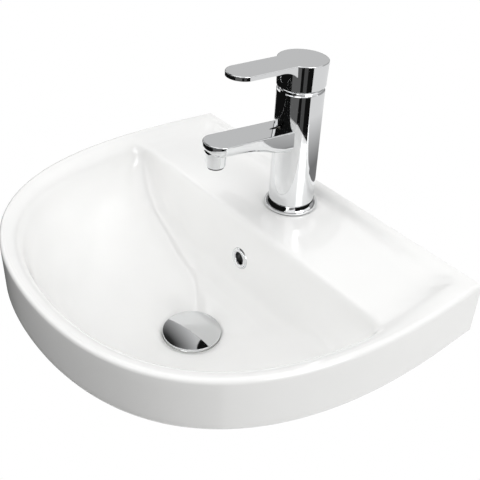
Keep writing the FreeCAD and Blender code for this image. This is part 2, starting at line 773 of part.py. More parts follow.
def spout_tip():
    """Turns the last section of the spout half round, towards the front."""
    half = d.spout_width / 2
    low = d.spout_tip_top - d.spout_tip_side
    high = d.spout_tip_top + d.overrun
    poles = [(-x, -d.spout_reach, low + z) for x, z in belly(half, d.spout_tip_depth - d.spout_tip_side)]
    corners = [point(*poles[-1]), point(0, -d.spout_reach, high), point(-half, -d.spout_reach, high),
               point(*poles[0])]
    sides = [Part.makeLine(start, end) for start, end in zip(corners, corners[1:])]
    face = Part.Face(Part.Wire([curve(*poles)] + sides))
    return face.revolve(point(0, -d.spout_reach, 0), point(0, 0, 1), 180)


def spout_shape():
    """Lofts the spout forward to its round tip, trims its top to one plane and adds the nozzle."""
    slope = (d.spout_tip_top - d.spout_root_top) / d.spout_reach
    rows = ((0, d.spout_root_depth, d.spout_root_side),
            (d.spout_reach * SPOUT_MID_SHARE, d.spout_mid_depth, d.spout_mid_side),
            (d.spout_reach, d.spout_tip_depth, d.spout_tip_side))
    arm = Part.makeLoft([spout_section(reach, d.spout_root_top + slope * reach, depth, side)
                         for reach, depth, side in rows], True, False)
    far = d.spout_reach + d.spout_width
    near = d.overrun
    high = d.spout_tip_top + d.spout_width
    above = slab([(near, d.spout_root_top - slope * near), (-far, d.spout_root_top + slope * far),
                  (-far, high), (near, high)], d.spout_width + d.overrun)
    spout = arm.fuse(spout_tip()).removeSplitter().cut(above)
    rim = max(spout.Faces, key=lambda face: face.CenterOfMass.z)
    edges = [edge for edge in rim.OuterWire.Edges if edge.BoundBox.YMin < -tiny]
    spout = spout.makeFillet(d.spout_edge_radius, edges)
    nozzle = post(d.nozzle_radius, d.nozzle_bottom, d.spout_tip_top - d.spout_tip_depth / 2,
                  y=-d.spout_reach - d.nozzle_forward)
    return spout.fuse(nozzle)


def tap_body_shape():
    """Joins barrel, spigot and spout, and cuts the cartridge chamber, waterways and inlets."""
    barrel = post(d.tap_radius, d.base_ring_height, d.tap_height)
    barrel = barrel.makeChamfer(d.hub_edge_radius, [edge for edge in barrel.Edges
                                                    if abs(edge.BoundBox.ZMin - d.tap_height) < tiny])
    spigot = post(d.spigot_radius, -d.spigot_drop, d.base_ring_height)
    body = barrel.multiFuse([spigot, spout_shape()])
    half = d.inlet_spacing / 2
    ahead = -d.inlet_forward
    throat = d.nozzle_bottom + d.nozzle_bore_depth
    outlet = -d.spout_reach - d.nozzle_forward
    run_level = throat + d.waterway_rise
    cuts = [
        post(d.chamber_radius, d.chamber_floor, d.tap_height + d.overrun),
        post(d.nut_bore_radius, d.nut_seat, d.tap_height + d.overrun),
        post(d.nozzle_bore_radius, d.nozzle_bottom - d.overrun, throat, y=outlet),
        Part.makeCylinder(d.waterway_radius, -outlet, point(0, 0, run_level), point(0, -1, 0)),
        post(d.nozzle_bore_radius - 2 * d.aerator_wall, throat - d.overrun, run_level, y=outlet),
        post(d.stud_radius + d.running_fit, -d.spigot_drop - d.overrun, d.inlet_depth - d.spigot_drop,
             y=d.stud_back),
    ]
    for side in (-1, 1):
        cuts.append(post(d.inlet_radius, -d.spigot_drop - d.overrun, d.inlet_depth - d.spigot_drop,
                         side * half, ahead))
        cuts.append(post(d.waterway_radius, 0, d.chamber_floor + d.overrun, side * half, ahead))
    return cut_all(body, cuts).removeSplitter()


def tap_base():
    """Turns the seal and the coved ring that the tap stands on."""
    lip = "(base_seal_thickness + base_ring_lip)"
    loose = "spigot_radius + sliding_fit"
    ring("tap_base_seal", TAP_PLACE, loose, "base_ring_radius - base_seal_thickness",
         "0", "base_seal_thickness")
    turned("tap_base_ring", TAP_PLACE,
           (loose, "base_seal_thickness"), ("base_ring_radius", "base_seal_thickness"),
           ("base_ring_radius", lip), ("base_ring_radius - base_ring_lip", lip, "-base_ring_cove"),
           ("tap_radius + sliding_fit", "base_ring_height"), (loose, "base_ring_height"))


def ports(radius):
    """Places the three ports of the cartridge round its axis: two inlets in front, one outlet behind."""
    return [(f"port_circle_radius * sin({turn} deg)", f"-port_circle_radius * cos({turn} deg)", radius)
            for turn in (60, -60, 180)]


def cartridge():
    """Builds the ceramic-disc cartridge, from its base up to its nut."""
    base_top = "(chamber_floor + cartridge_base_height)"
    body = disc("cartridge_base", TAP_PLACE, "cartridge_radius", "chamber_floor", base_top)
    doc.recompute()
    cut_through(body, "ports", circles(body, "port", ports("port_radius")))
    seats = circles(body, "seat", ports("port_seal_radius + running_fit"), "chamber_floor + port_seal_depth")
    pocket = body.newObject("PartDesign::Pocket", "cartridge_base_seats")
    pocket.Profile = seats
    pocket.Type = "Length"
    pocket.setExpression("Length", bound("port_seal_depth + overrun"))
    seals = new_body("cartridge_port_seals", TAP_PLACE)
    rings = circles(seals, "ring", ports("port_seal_radius") + ports("port_radius"), "chamber_floor")
    add_pad(seals, "height", rings, "port_seal_depth")
    disc_top = f"({base_top} + disc_thickness)"
    fixed = disc("fixed_disc", TAP_PLACE, "fixed_disc_radius", base_top, disc_top)
    doc.recompute()
    cut_through(fixed, "ports", circles(fixed, "port", ports("port_radius")))
    carrier_low = f"({disc_top} + disc_thickness)"
    moving = disc("moving_disc", TAP_PLACE, "moving_disc_radius", disc_top, carrier_low)
    doc.recompute()
    hollow = circles(moving, "hollow", [("0", "0", "moving_disc_radius / 2")],
                     f"{disc_top} + disc_thickness / 2")
    pocket = moving.newObject("PartDesign::Pocket", "moving_disc_hollow_cut")
    pocket.Profile = hollow
    pocket.Type = "Length"
    pocket.setExpression("Length", bound("disc_thickness"))
    carrier_top = f"({carrier_low} + carrier_height)"
    carrier = disc("disc_carrier", TAP_PLACE, "carrier_radius", carrier_low, carrier_top)
    doc.recompute()
    grip = draw(carrier, "grip", "XY_Plane",
                rectangle("spindle_width + 4 * sliding_fit",
                          "2 * spindle_tip_radius + 2 * sliding_fit"), carrier_top)
    pocket = carrier.newObject("PartDesign::Pocket", "disc_carrier_pocket")
    pocket.Profile = grip
    pocket.Type = "Length"
    pocket.setExpression("Length", bound("carrier_pocket_depth"))
    rotor_low = f"({carrier_top} + sliding_fit)"
    flange_top = f"({rotor_low} + rotor_flange_height)"
    rotor = turned("cartridge_rotor", TAP_PLACE,
                   ("0", rotor_low), ("cartridge_bore - sliding_fit", rotor_low),
                   ("cartridge_bore - sliding_fit", flange_top), ("rotor_neck_radius", flange_top),
                   ("rotor_neck_radius", f"{rotor_low} + rotor_height"), ("0", f"{rotor_low} + rotor_height"))
    doc.recompute()
    slot = draw(rotor, "slot", "XY_Plane", rectangle("spindle_width + 2 * sliding_fit", "rotor_slot_length"))
    cut_through(rotor, "spindle_slot", slot)
    doc.recompute()
    bore = draw_pin_bore(rotor)
    cut_through(rotor, "pin_bore", bore)
    lip_low = f"({flange_top} + sliding_fit)"
    housing_top = f"({lip_low} + housing_lip_height)"
    turned("cartridge_housing", TAP_PLACE,
           ("cartridge_bore", base_top), ("cartridge_radius", base_top), ("cartridge_radius", housing_top),
           ("rotor_neck_radius + sliding_fit", housing_top), ("rotor_neck_radius + sliding_fit", lip_low),
           ("cartridge_bore", lip_low))
    ring("cartridge_nut", TAP_PLACE, "nut_opening_radius", "nut_bore_radius - running_fit",
         housing_top, f"{housing_top} + nut_thickness")


def draw_pin_bore(body):
    """Draws the pivot's bore on the plane that the pin stands square to."""
    sketch = body.newObject("Sketcher::SketchObject", f"{body.Label}_pin_circle")
    origin_plane = [item for item in body.Origin.OriginFeatures if item.Role == "YZ_Plane"][0]
    sketch.AttachmentSupport = (origin_plane, [""])
    sketch.MapMode = "FlatFace"
    radius = "pivot_pin_radius + running_fit"
    sketch.addGeometry(Part.Circle(point(0, d.pivot_height), point(0, 0, 1), number(radius)), False)
    rule = sketch.addConstraint(Sketcher.Constraint("Radius", 0, number(radius)))
    sketch.setExpression(f"Constraints[{rule}]", bound(radius))
    for kind, text in (("DistanceX", "0"), ("DistanceY", "pivot_height")):
        rule = sketch.addConstraint(Sketcher.Constraint(kind, -1, 1, 0, 3, number(text)))
        sketch.setExpression(f"Constraints[{rule}]", bound(text))
    return sketch


def pivot_pin():
    """Adds the pin that the spindle tilts on."""
    pin = doc.addObject("Part::Cylinder", "pivot_pin")
    pin.Label = "pivot_pin"
    pin.setExpression("Radius", bound("pivot_pin_radius"))
    pin.setExpression("Height", bound("pivot_pin_length"))
    pin.Placement = FreeCAD.Placement(point(0, 0), FreeCAD.Rotation(point(0, 1, 0), 90))
    put(pin, ("-pivot_pin_length / 2", TAP_PLACE[1], f"{TAP_PLACE[2]} + pivot_height"))
    pieces.append(pin)


def lever_spindle_shape():
    """Joins the square spindle, its slim neck below the pivot and the barrel tip in the carrier."""
    half = d.spindle_width / 2
    tip_level = d.pivot_height - d.lever_arm
    neck_top = d.pivot_height - d.pivot_pin_radius * 2
    square = Part.makeBox(d.spindle_width, d.spindle_width, d.socket_top - neck_top,
                          point(-half, -half, neck_top))
    neck = Part.makeBox(d.spindle_width, d.spindle_neck_width, neck_top - tip_level,
                        point(-half, -d.spindle_neck_width / 2, tip_level))
    tip = Part.makeCylinder(d.spindle_tip_radius, d.spindle_width, point(-half, 0, tip_level), point(1, 0, 0))
    bore = Part.makeCylinder(d.pivot_pin_radius + d.running_fit, d.pivot_pin_length,
                             point(-d.pivot_pin_length / 2, 0, d.pivot_height), point(1, 0, 0))
    return square.multiFuse([neck, tip]).removeSplitter().cut(bore)


def lever_shape():
    """Joins the hub and the flat lever under one leaning top, hollow below and swept up to the lever."""
    slope = d.lever_rise / d.lever_reach
    bottom = d.tap_height + d.joint_gap
    tip_radius = d.lever_width / 2
    straight = d.lever_reach - tip_radius
    top_level = d.hub_top + d.lever_rise + d.overrun
    flare = (d.hub_top_radius - d.hub_radius) / (d.hub_top - bottom)
    hub = Part.makeCone(d.hub_radius, d.hub_radius + flare * (top_level - bottom), top_level - bottom,
                        point(0, 0, bottom))
    side = [point(0, 0, d.lever_swoop_foot), point(0, 0, top_level),
            point(0, -d.lever_reach - d.overrun, top_level)]
    tip_under = d.hub_top + d.lever_rise - d.lever_tip_thickness
    start_under = d.hub_top + slope * d.lever_swoop_start - d.lever_root_thickness
    tip_spot = point(0, -d.lever_reach - d.overrun, tip_under)
    swoop_start = point(0, -d.lever_swoop_start, start_under)
    swoop_end = point(0, -d.hub_radius * math.cos(math.asin(tip_radius / d.hub_radius)), d.lever_swoop_foot)
    bend = point(0, blend(SWOOP_BEND_SHARES[0], swoop_start.y, swoop_end.y),
                 blend(SWOOP_BEND_SHARES[1], swoop_start.z, swoop_end.z))
    edges = [Part.makeLine(side[0], side[1]), Part.makeLine(side[1], side[2]), Part.makeLine(side[2], tip_spot),
             Part.makeLine(tip_spot, swoop_start), Part.Arc(swoop_start, bend, swoop_end).toShape(),
             Part.makeLine(swoop_end, side[0])]
    profile = Part.Face(Part.Wire(edges)).extrude(point(d.lever_width, 0, 0))
    profile.translate(point(-tip_radius, 0, 0))
    blade = Part.makeBox(d.lever_width, straight, top_level, point(-tip_radius, -straight, 0))
    blade = blade.fuse(post(tip_radius, 0, top_level, y=-straight)).common(profile)
    far = d.lever_reach + d.overrun * 2
    above = slab([(d.hub_radius * 2, d.hub_top - slope * d.hub_radius * 2), (-far, d.hub_top + slope * far),
                  (-far, top_level * 2), (d.hub_radius * 2, top_level * 2)], d.hub_radius * 2 + d.overrun)
    lever = hub.fuse(blade).cut(above).removeSplitter()
    lever = lever.makeFillet(d.lever_edge_radius, crown_edges(lever, slope))
    half = d.spindle_width / 2 + d.running_fit
    cuts = [
        post(d.hub_radius - d.hub_wall, bottom - d.overrun, d.hub_roof),
        Part.makeBox(2 * half, 2 * half, d.socket_top - bottom, point(-half, -half, bottom)),
        Part.makeCylinder(d.grub_radius + d.running_fit, d.hub_radius + d.overrun, point(0, 0, d.grub_height),
                          point(0, -1, 0)),
        Part.makeCylinder(d.index_plug_radius + d.running_fit, d.index_plug_depth + d.overrun,
                          point(0, -d.hub_radius + d.index_plug_depth, d.grub_height), point(0, -1, 0)),
    ]
    return cut_all(lever, cuts)


def crown_edges(shape, slope):
    """Finds the outer edges of the lever's one leaning top face."""
    up = point(0, slope, 1).normalize()
    tops = [face for face in shape.Faces
            if face.Surface.TypeId == "Part::GeomPlane" and face.normalAt(0, 0).dot(up) > 1 - TINY_SHARE]
    crown = max(tops, key=lambda face: face.CenterOfMass.z)
    return crown.OuterWire.Edges


def lever_group():
    """Adds the spindle, the lever and what fastens them together."""
    made("lever_spindle", TAP_PLACE, lever_spindle_shape())
    made("lever_handle", TAP_PLACE, lever_shape())
    reach = d.hub_radius - d.index_plug_depth - d.spindle_width / 2
    made("lever_grub_screw", TAP_PLACE,
         Part.makeCylinder(d.grub_radius, reach / 2,
                           point(0, -d.spindle_width / 2 - d.running_fit, d.grub_height),
                           point(0, -1, 0)))
    plug = Part.makeCylinder(d.index_plug_radius, d.hub_radius, point(0, 0, d.grub_height), point(0, -1, 0))
    plug = plug.common(post(d.hub_radius, 0, d.hub_top)).cut(
        Part.makeBox(d.hub_radius, d.hub_radius - d.index_plug_depth, d.hub_top,
                     point(-d.hub_radius / 2, -d.hub_radius + d.index_plug_depth, 0)))
    made("lever_index_plug", TAP_PLACE, plug)


def trim_ring():
    """Turns the domed ring that shows in the joint between the barrel and the hub."""
    turned("trim_ring", TAP_PLACE,
           ("nut_opening_radius + sliding_fit", "tap_height"), ("trim_ring_radius", "tap_height"),
           ("trim_ring_radius", "tap_height + trim_ring_edge", "trim_ring_crown"),
           ("nut_bore_radius", "tap_height + trim_ring_height"),
           ("nut_opening_radius + sliding_fit", "tap_height + trim_ring_height"))


def aerator():
    """Builds the flow straightener in the nozzle: sleeve, grid and washer."""
    place = (TAP_PLACE[0], f"{TAP_PLACE[1]} - spout_reach - nozzle_forward", f"{TAP_PLACE[2]} + nozzle_bottom")
    outer = "nozzle_bore_radius - running_fit"
    inner = "(nozzle_bore_radius - aerator_wall)"
    low = "(nozzle_bore_depth - aerator_washer_height - aerator_height)"
    top = "(nozzle_bore_depth - aerator_washer_height)"
    ring("aerator_housing", place, inner, outer, low, top)
    grid = disc("aerator_insert", place, f"{inner} - running_fit", f"{low} + aerator_grid_recess", top)
    doc.recompute()
    holes = [(f"aerator_grid_radius * cos({360 * step / GRID_COUNT} deg)",
              f"aerator_grid_radius * sin({360 * step / GRID_COUNT} deg)", "aerator_grid_hole")
             for step in range(GRID_COUNT)]
    cut_through(grid, "holes", circles(grid, "hole", holes))
    ring("aerator_washer", place, f"{inner} - aerator_wall", outer, top, "nozzle_bore_depth")


def deck_fixing():
    """Adds the stud under the tap with its horseshoe seal, plate and nut below the deck."""
    stud = doc.addObject("Part::Cylinder", "fixing_stud")
    stud.Label = "fixing_stud"
    stud.setExpression("Radius", bound("stud_radius"))
    stud.setExpression("Height", bound("stud_length"))
    put(stud, ("0", f"{TAP_PLACE[1]} + stud_back", f"{TAP_PLACE[2]} + inlet_depth - spigot_drop - stud_length"))
    pieces.append(stud)
    seal_low = "(deck_thickness + horseshoe_seal_thickness)"
    plate_low = f"({seal_low} + horseshoe_plate_thickness)"
    for label, low, height in (("horseshoe_seal", seal_low, "horseshoe_seal_thickness"),
                               ("horseshoe_plate", plate_low, "horseshoe_plate_thickness")):
        body = disc(label, TAP_PLACE, "horseshoe_radius", f"-{low}", f"-{low} + {height}")
        doc.recompute()
        gap = draw(body, "gap", "XY_Plane",
                   (("-horseshoe_slot_width / 2", "-(horseshoe_radius + overrun)"),
                    ("horseshoe_slot_width / 2", "-(horseshoe_radius + overrun)"),
                    ("horseshoe_slot_width / 2", "horseshoe_slot_back"),
                    ("-horseshoe_slot_width / 2", "horseshoe_slot_back")))
        cut_through(body, "gap_cut", gap)
        doc.recompute()
        hole = circles(body, "hole", [("0", "stud_back", "stud_radius + sliding_fit")])
        cut_through(body, "stud_hole", hole)
    hex_nut("fixing_nut", (TAP_PLACE[0], f"{TAP_PLACE[1]} + stud_back", TAP_PLACE[2]),
            f"-({plate_low} + fixing_nut_height)", "fixing_nut_height", "fixing_nut_flats",
            "stud_radius + running_fit")


made("basin_body", RIM_PLACE, basin_shape())
overflow_ring()
waste()
click_plug()
tap_base()
made("tap_body", TAP_PLACE, tap_body_shape())
trim_ring()
cartridge()
pivot_pin()
lever_group()
aerator()
deck_fixing()
doc.recompute()

failed = [item.Label for item in doc.Objects if "Invalid" in item.State or "Error" in item.State]
if failed:
    raise RuntimeError(f"failed objects: {failed}")
for piece in pieces:
    if piece.Shape.isNull() or not piece.Shape.isValid():
        raise RuntimeError(f"bad shape: {piece.Label}")

os.makedirs("parts", exist_ok=True)
for piece in pieces:
    piece.Shape.exportStep(f"parts/{piece.Label}.step")
    box = piece.Shape.BoundBox
    print(f"{piece.Label}: {len(piece.Shape.Solids)} solid(s), {piece.Shape.Volume:.0f} mm3, "
          f"z {box.ZMin:.1f} to {box.ZMax:.1f}")
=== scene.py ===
# %% [markdown]
# # A wall-hung basin, dressed for its portrait
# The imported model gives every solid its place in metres: the wall is y = 0, the bowl stands out
# towards -Y, and z = 0 lies between the two wall fixings. This lesson keeps that frame, gives every
# solid its finish, and draws the glazed ware and a few chrome shapes again as smooth surfaces.

# %% Load the frame
import json
import math
import bmesh
import bpy
import numpy as np
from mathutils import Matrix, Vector


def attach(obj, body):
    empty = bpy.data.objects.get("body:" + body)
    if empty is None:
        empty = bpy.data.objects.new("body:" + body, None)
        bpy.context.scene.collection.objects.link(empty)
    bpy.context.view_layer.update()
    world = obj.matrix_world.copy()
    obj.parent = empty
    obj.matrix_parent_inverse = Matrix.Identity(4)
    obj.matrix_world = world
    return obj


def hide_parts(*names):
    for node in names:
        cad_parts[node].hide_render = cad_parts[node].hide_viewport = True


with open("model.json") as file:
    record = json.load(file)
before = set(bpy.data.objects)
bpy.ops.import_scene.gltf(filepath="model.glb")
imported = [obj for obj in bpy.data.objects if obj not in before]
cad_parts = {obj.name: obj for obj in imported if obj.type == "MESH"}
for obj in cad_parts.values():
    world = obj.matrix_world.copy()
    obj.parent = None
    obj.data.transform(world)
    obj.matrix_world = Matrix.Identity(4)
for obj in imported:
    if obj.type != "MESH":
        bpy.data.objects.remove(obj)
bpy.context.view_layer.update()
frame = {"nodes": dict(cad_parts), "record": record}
nodes = frame["nodes"]
MM = 0.001

# %% [markdown]
# ## Camera
# The outline of the rim in the photograph fixes where the camera stood: in front and to the right,
# about 35 degrees above the rim. The basin sits left of the middle of the picture, and the
# lens shift moves the frame without turning the camera.

# %% Camera at the photograph's angle
RIM_LEVEL = 70.0
AIM = Vector((9.4, -187.6, RIM_LEVEL)) * MM
AZIMUTH = math.radians(56.44)
ELEVATION = math.radians(34.95)
DISTANCE = 768.0 * MM
FOCAL_PIXELS, PICTURE_PIXELS = 778.06, 480
SHIFT = (0.1142, 0.0029)

backward = Vector((math.sin(AZIMUTH) * math.cos(ELEVATION), -math.cos(AZIMUTH) * math.cos(ELEVATION),
                   math.sin(ELEVATION)))
lens = bpy.data.cameras.new("portrait_camera")
lens.lens = FOCAL_PIXELS / PICTURE_PIXELS * lens.sensor_width
lens.shift_x, lens.shift_y = SHIFT
camera = bpy.data.objects.new("portrait_camera", lens)
camera.location = AIM + backward * DISTANCE
camera.rotation_mode = "QUATERNION"
camera.rotation_quaternion = (-backward).to_track_quat("-Z", "Y")
bpy.context.scene.collection.objects.link(camera)
bpy.context.scene.camera = camera
print("camera at", [round(v, 3) for v in camera.location], "lens", round(lens.lens, 1), "mm")

# %% [markdown]
# ## Colours and nodes
# A colour is picked on a screen, so it is written as an sRGB hex value. The shader works in linear
# light, and one function makes the change. A second small function adds a node to a material. On most
# of these finishes the gloss wavers in blotches of a real size, and one more function gives them that.

# %% Helpers for materials
NOISE_LOW, NOISE_HIGH, NOISE_DETAIL = 0.3, 0.7, 2.0


def linear(hex_colour):
    """Each channel c of 0 to 1 becomes ((c + 0.055) / 1.055) to the power 2.4, or c / 12.92 when small."""
    c = np.array([int(hex_colour[i:i + 2], 16) for i in (1, 3, 5)]) / 255
    return tuple(np.where(c > 0.04045, ((c + 0.055) / 1.055) ** 2.4, c / 12.92)) + (1.0,)


def add(tree, kind, links=None, **settings):
    """Adds one node: settings name its properties or inputs, links name the sockets that feed it."""
    node = tree.nodes.new(kind)
    for name, value in settings.items():
        if hasattr(node, name):
            setattr(node, name, value)
        else:
            node.inputs[name.replace("_", " ")].default_value = value
    for name, socket in (links or {}).items():
        tree.links.new(socket, node.inputs[name])
    return node


def finish(name, colour, **shader):
    """Starts a material: a Principled shader with numbers on its own sockets, and Object coordinates."""
    material = bpy.data.materials.new(name)
    material.use_nodes = True
    tree = material.node_tree
    principled = tree.nodes["Principled BSDF"]
    principled.inputs["Base Color"].default_value = linear(colour)
    for socket, value in shader.items():
        principled.inputs[socket.replace("_", " ")].default_value = value
    spot = add(tree, "ShaderNodeTexCoord").outputs["Object"]
    return material, tree, principled, spot


def per_metre(size_mm):
    """A pattern's scale is how many times a size in mm goes into a metre."""
    return 1 / (size_mm * MM)


def cloudy_gloss(tree, shader, spot, size_mm, low, high):
    """Roughness in soft blotches about size_mm across: a noise's usual 0.3 to 0.7 becomes low to high."""
    noise = add(tree, "ShaderNodeTexNoise", {"Vector": spot}, Scale=per_metre(size_mm), Detail=NOISE_DETAIL)
    gloss = add(tree, "ShaderNodeMapRange", {"Value": noise.outputs["Fac"]}, From_Min=NOISE_LOW,
                From_Max=NOISE_HIGH, To_Min=low, To_Max=high)
    tree.links.new(gloss.outputs["Result"], shader.inputs["Roughness"])


print("white is", linear("#FFFFFF"))

# %% [markdown]
# ## Glazed ware
# The basin is vitreous china: cast clay, fired white under a clear glaze. A plain white gloss would do from
# afar. Close up the glaze pools and ripples, so tint, gloss and surface waver, each at its own size.

# %% Glazed ware
TINT_CLOUD, GLAZE_CLOUD, GLAZE_RIPPLE, RIPPLE_HEIGHT = 70.0, 25.0, 14.0, 0.4


def glazed_vitreous_china():
    """White clay under clear glaze: a tint that drifts, a gloss that wavers, and a soft ripple."""
    material, tree, shader, spot = finish("glazed_vitreous_china", "#F3F3F2", IOR=1.52, Coat_Weight=0.25,
                                          Coat_Roughness=0.04)
    cloud = add(tree, "ShaderNodeTexNoise", {"Vector": spot}, Scale=per_metre(TINT_CLOUD),
                Detail=NOISE_DETAIL)
    tint = add(tree, "ShaderNodeMix", {"Factor": cloud.outputs["Fac"]}, data_type="RGBA", blend_type="MIX")
    tint.inputs["A"].default_value = linear("#F1F1F0")
    tint.inputs["B"].default_value = linear("#F6F6F5")
    tree.links.new(tint.outputs[2], shader.inputs["Base Color"])
    cloudy_gloss(tree, shader, spot, GLAZE_CLOUD, 0.10, 0.16)
    ripple = add(tree, "ShaderNodeTexNoise", {"Vector": spot}, Scale=per_metre(GLAZE_RIPPLE), Detail=1.0)
    bump = add(tree, "ShaderNodeBump", {"Height": ripple.outputs["Fac"]}, Strength=0.05,
               Distance=RIPPLE_HEIGHT * MM)
    tree.links.new(bump.outputs["Normal"], shader.inputs["Normal"])
    return material


FINISHES = {"glazed_ware": glazed_vitreous_china()}
print("ware:", FINISHES["glazed_ware"].name)

# %% [markdown]
# ## Chromium plate
# Tap, plug cap and overflow ring are metal, polished and chromium plated. A perfect mirror would do, but
# polishing leaves faint patches, so the roughness stays low and wavers a little.


# %% Chromium plate
def bright_chrome_plate():
    """Polished metal under chromium: a mirror with faint soft patches in its gloss."""
    material, tree, shader, spot = finish("bright_chrome_plate", "#E6E7E8", Metallic=1.0)
    cloudy_gloss(tree, shader, spot, 18.0, 0.025, 0.055)
    return material


FINISHES["chrome_plate"] = bright_chrome_plate()
print("plate:", FINISHES["chrome_plate"].name)

# %% [markdown]
# ## The finishes behind
# Under the basin and inside the tap are turned brass, zinc-plated steel, rubber, moulded plastic and lapped
# ceramic. They show little, so each is one colour with the gloss or the grain that its making leaves.

# %% The finishes behind
# A wave's angle grows by 20 times its scale in each metre, so these rings stand 5 mm apart: 2 pi times 0.8.
# Real tool marks are finer. They are drawn as coarse as they need to show.
WAVE_RATE, RING_STEP, FINE_HEIGHT = 20, 0.8, 0.1


def turned_brass():
    """Brass off the lathe: rings of the tool catch the light."""
    material, tree, shader, spot = finish("turned_brass", "#C2A264", Metallic=1.0)
    rings = add(tree, "ShaderNodeTexWave", {"Vector": spot}, bands_direction="Z",
                Scale=per_metre(WAVE_RATE * RING_STEP), Distortion=0.6)
    gloss = add(tree, "ShaderNodeMapRange", {"Value": rings.outputs["Fac"]}, From_Min=NOISE_LOW,
                From_Max=NOISE_HIGH, To_Min=0.22, To_Max=0.38)
    tree.links.new(gloss.outputs["Result"], shader.inputs["Roughness"])
    bump = add(tree, "ShaderNodeBump", {"Height": rings.outputs["Fac"]}, Strength=0.2,
               Distance=FINE_HEIGHT * MM)
    tree.links.new(bump.outputs["Normal"], shader.inputs["Normal"])
    return material


def zinc_plated_steel():
    """Cold-drawn steel under dull zinc: grey with a faint cloudy bloom."""
    material, tree, shader, spot = finish("zinc_plated_steel", "#A9ADB2", Metallic=1.0)
    cloudy_gloss(tree, shader, spot, 3.0, 0.28, 0.45)
    return material


def moulded_rubber():
    """Black rubber from a mould: matt, with a fine grain of about 0.4 mm."""
    material, tree, shader, spot = finish("moulded_rubber", "#242425", Roughness=0.62)
    grain = add(tree, "ShaderNodeTexNoise", {"Vector": spot}, Scale=per_metre(0.4), Detail=NOISE_DETAIL)
    bump = add(tree, "ShaderNodeBump", {"Height": grain.outputs["Fac"]}, Strength=0.25,
               Distance=FINE_HEIGHT * MM)
    tree.links.new(bump.outputs["Normal"], shader.inputs["Normal"])
    return material


def moulded_acetal():
    """Natural acetal: waxy off-white, a little see-through at thin edges."""
    material, tree, shader, spot = finish("moulded_acetal", "#DFDCD3", IOR=1.48, Subsurface_Weight=0.1,
                                          Subsurface_Radius=(0.002, 0.002, 0.0015))
    cloudy_gloss(tree, shader, spot, 5.0, 0.32, 0.45)
    return material


def moulded_black_plastic():
    """Black moulded nylon with a fine even sheen."""
    material, tree, shader, spot = finish("moulded_black_plastic", "#161617", IOR=1.5)
    cloudy_gloss(tree, shader, spot, 1.5, 0.3, 0.42)
    return material


def lapped_alumina():
    """White alumina lapped to a dead-flat sheen."""
    material, tree, shader, spot = finish("lapped_alumina", "#EFEBE2", IOR=1.76)
    cloudy_gloss(tree, shader, spot, 0.8, 0.12, 0.2)
    return material


FINISHES.update(brass_parts=turned_brass(), steel_parts=zinc_plated_steel(), seal_rubber=moulded_rubber(),
                moulded_plastic=moulded_acetal(), black_plastic=moulded_black_plastic(),
                lapped_discs=lapped_alumina())
print("finishes:", len(FINISHES))

# %% [markdown]
# ## Dressing the solids
# Each solid takes the finish of its slot in the record. The waste's body is brass there, but its pipe end
# shows under the basin and such pipes are plated, so it is dressed in chrome.

# %% A finish for every node
slot_of = {row["node"]: row["material_slot"] for row in frame["record"]["subparts"]}
slot_of["waste_body"] = "chrome_plate"
for name, node in nodes.items():
    node.data.materials.clear()
    node.data.materials.append(FINISHES[slot_of[name]])
print("dressed", len(nodes), "nodes")

# %% [markdown]
# ## The plan of the basin
# From above the basin is a D: a straight back on the wall, sides that swell, and a round front. The same
# plan, drawn in by the rim, is the mouth of the bowl. Splines drawn by hand would do. Here cubic curves hang
# on a few sizes in millimetres, and each outline becomes its reach from the waste by bearing, which the bowl
# needs.

# %% Plan curves
HALF_WIDTH, HALF_BACK, DEPTH, WIDEST = 225.0, 217.5, 354.0, 109.0
SIDE_SHARES, FRONT_SHARES, ROUND_SHARE = (0.1, 0.5), (0.43, 0.86), 0.5523
RIM_WIDTH, BACK_RIM, LEDGE_CORNER, WASTE_SETBACK = 17.0, 9.0, 14.0, 172.7
PLAN_POINTS, CORNER_POINTS = 240, 40


def bezier(poles, count):
    """A cubic curve: each pole times its Bernstein weight, summed, at count shares from 0 to 1."""
    t = np.linspace(0, 1, count)[:, None]
    p = np.asarray(poles, float)
    return (1 - t) ** 3 * p[0] + 3 * (1 - t) ** 2 * t * p[1] + 3 * (1 - t) * t ** 2 * p[2] + t ** 3 * p[3]


def half_plan(inset, back, corner):
    """The right half of the D, from mid-back to mid-front: line, corner, swelling side, round front."""
    wide, near, front = HALF_WIDTH - inset, HALF_BACK - inset, DEPTH - inset
    side, run, pull = WIDEST - back - corner, front - WIDEST, corner * ROUND_SHARE
    start = np.linspace(0, 1, PLAN_POINTS)[:, None] * np.array([near - corner, 0.0]) - np.array([0.0, back])
    turn = bezier([(near - corner, -back), (near - corner + pull, -back), (near, -back - corner + pull),
                   (near, -back - corner)], CORNER_POINTS)
    flank = bezier([(near, -back - corner), (near, -back - corner - SIDE_SHARES[0] * side),
                    (wide, -WIDEST + SIDE_SHARES[1] * side), (wide, -WIDEST)], PLAN_POINTS)
    nose = bezier([(wide, -WIDEST), (wide, -WIDEST - FRONT_SHARES[0] * run),
                   (FRONT_SHARES[1] * wide, -front), (0.0, -front)], PLAN_POINTS)
    return np.vstack([start[:-1], turn[:-1] if corner else turn[:0], flank[:-1], nose])


def bearing(x, y):
    """The plan angle round the waste: zero towards the front, a half turn towards the wall."""
    return np.arctan2(x, -(y + WASTE_SETBACK))


def reach_of(outline):
    """Returns the function that gives the outline's distance from the waste at a bearing."""
    angle = bearing(outline[:, 0], outline[:, 1])
    order = np.argsort(angle)
    distance = np.hypot(outline[:, 0], outline[:, 1] + WASTE_SETBACK)
    return lambda turn: np.interp(np.abs(turn), angle[order], distance[order])


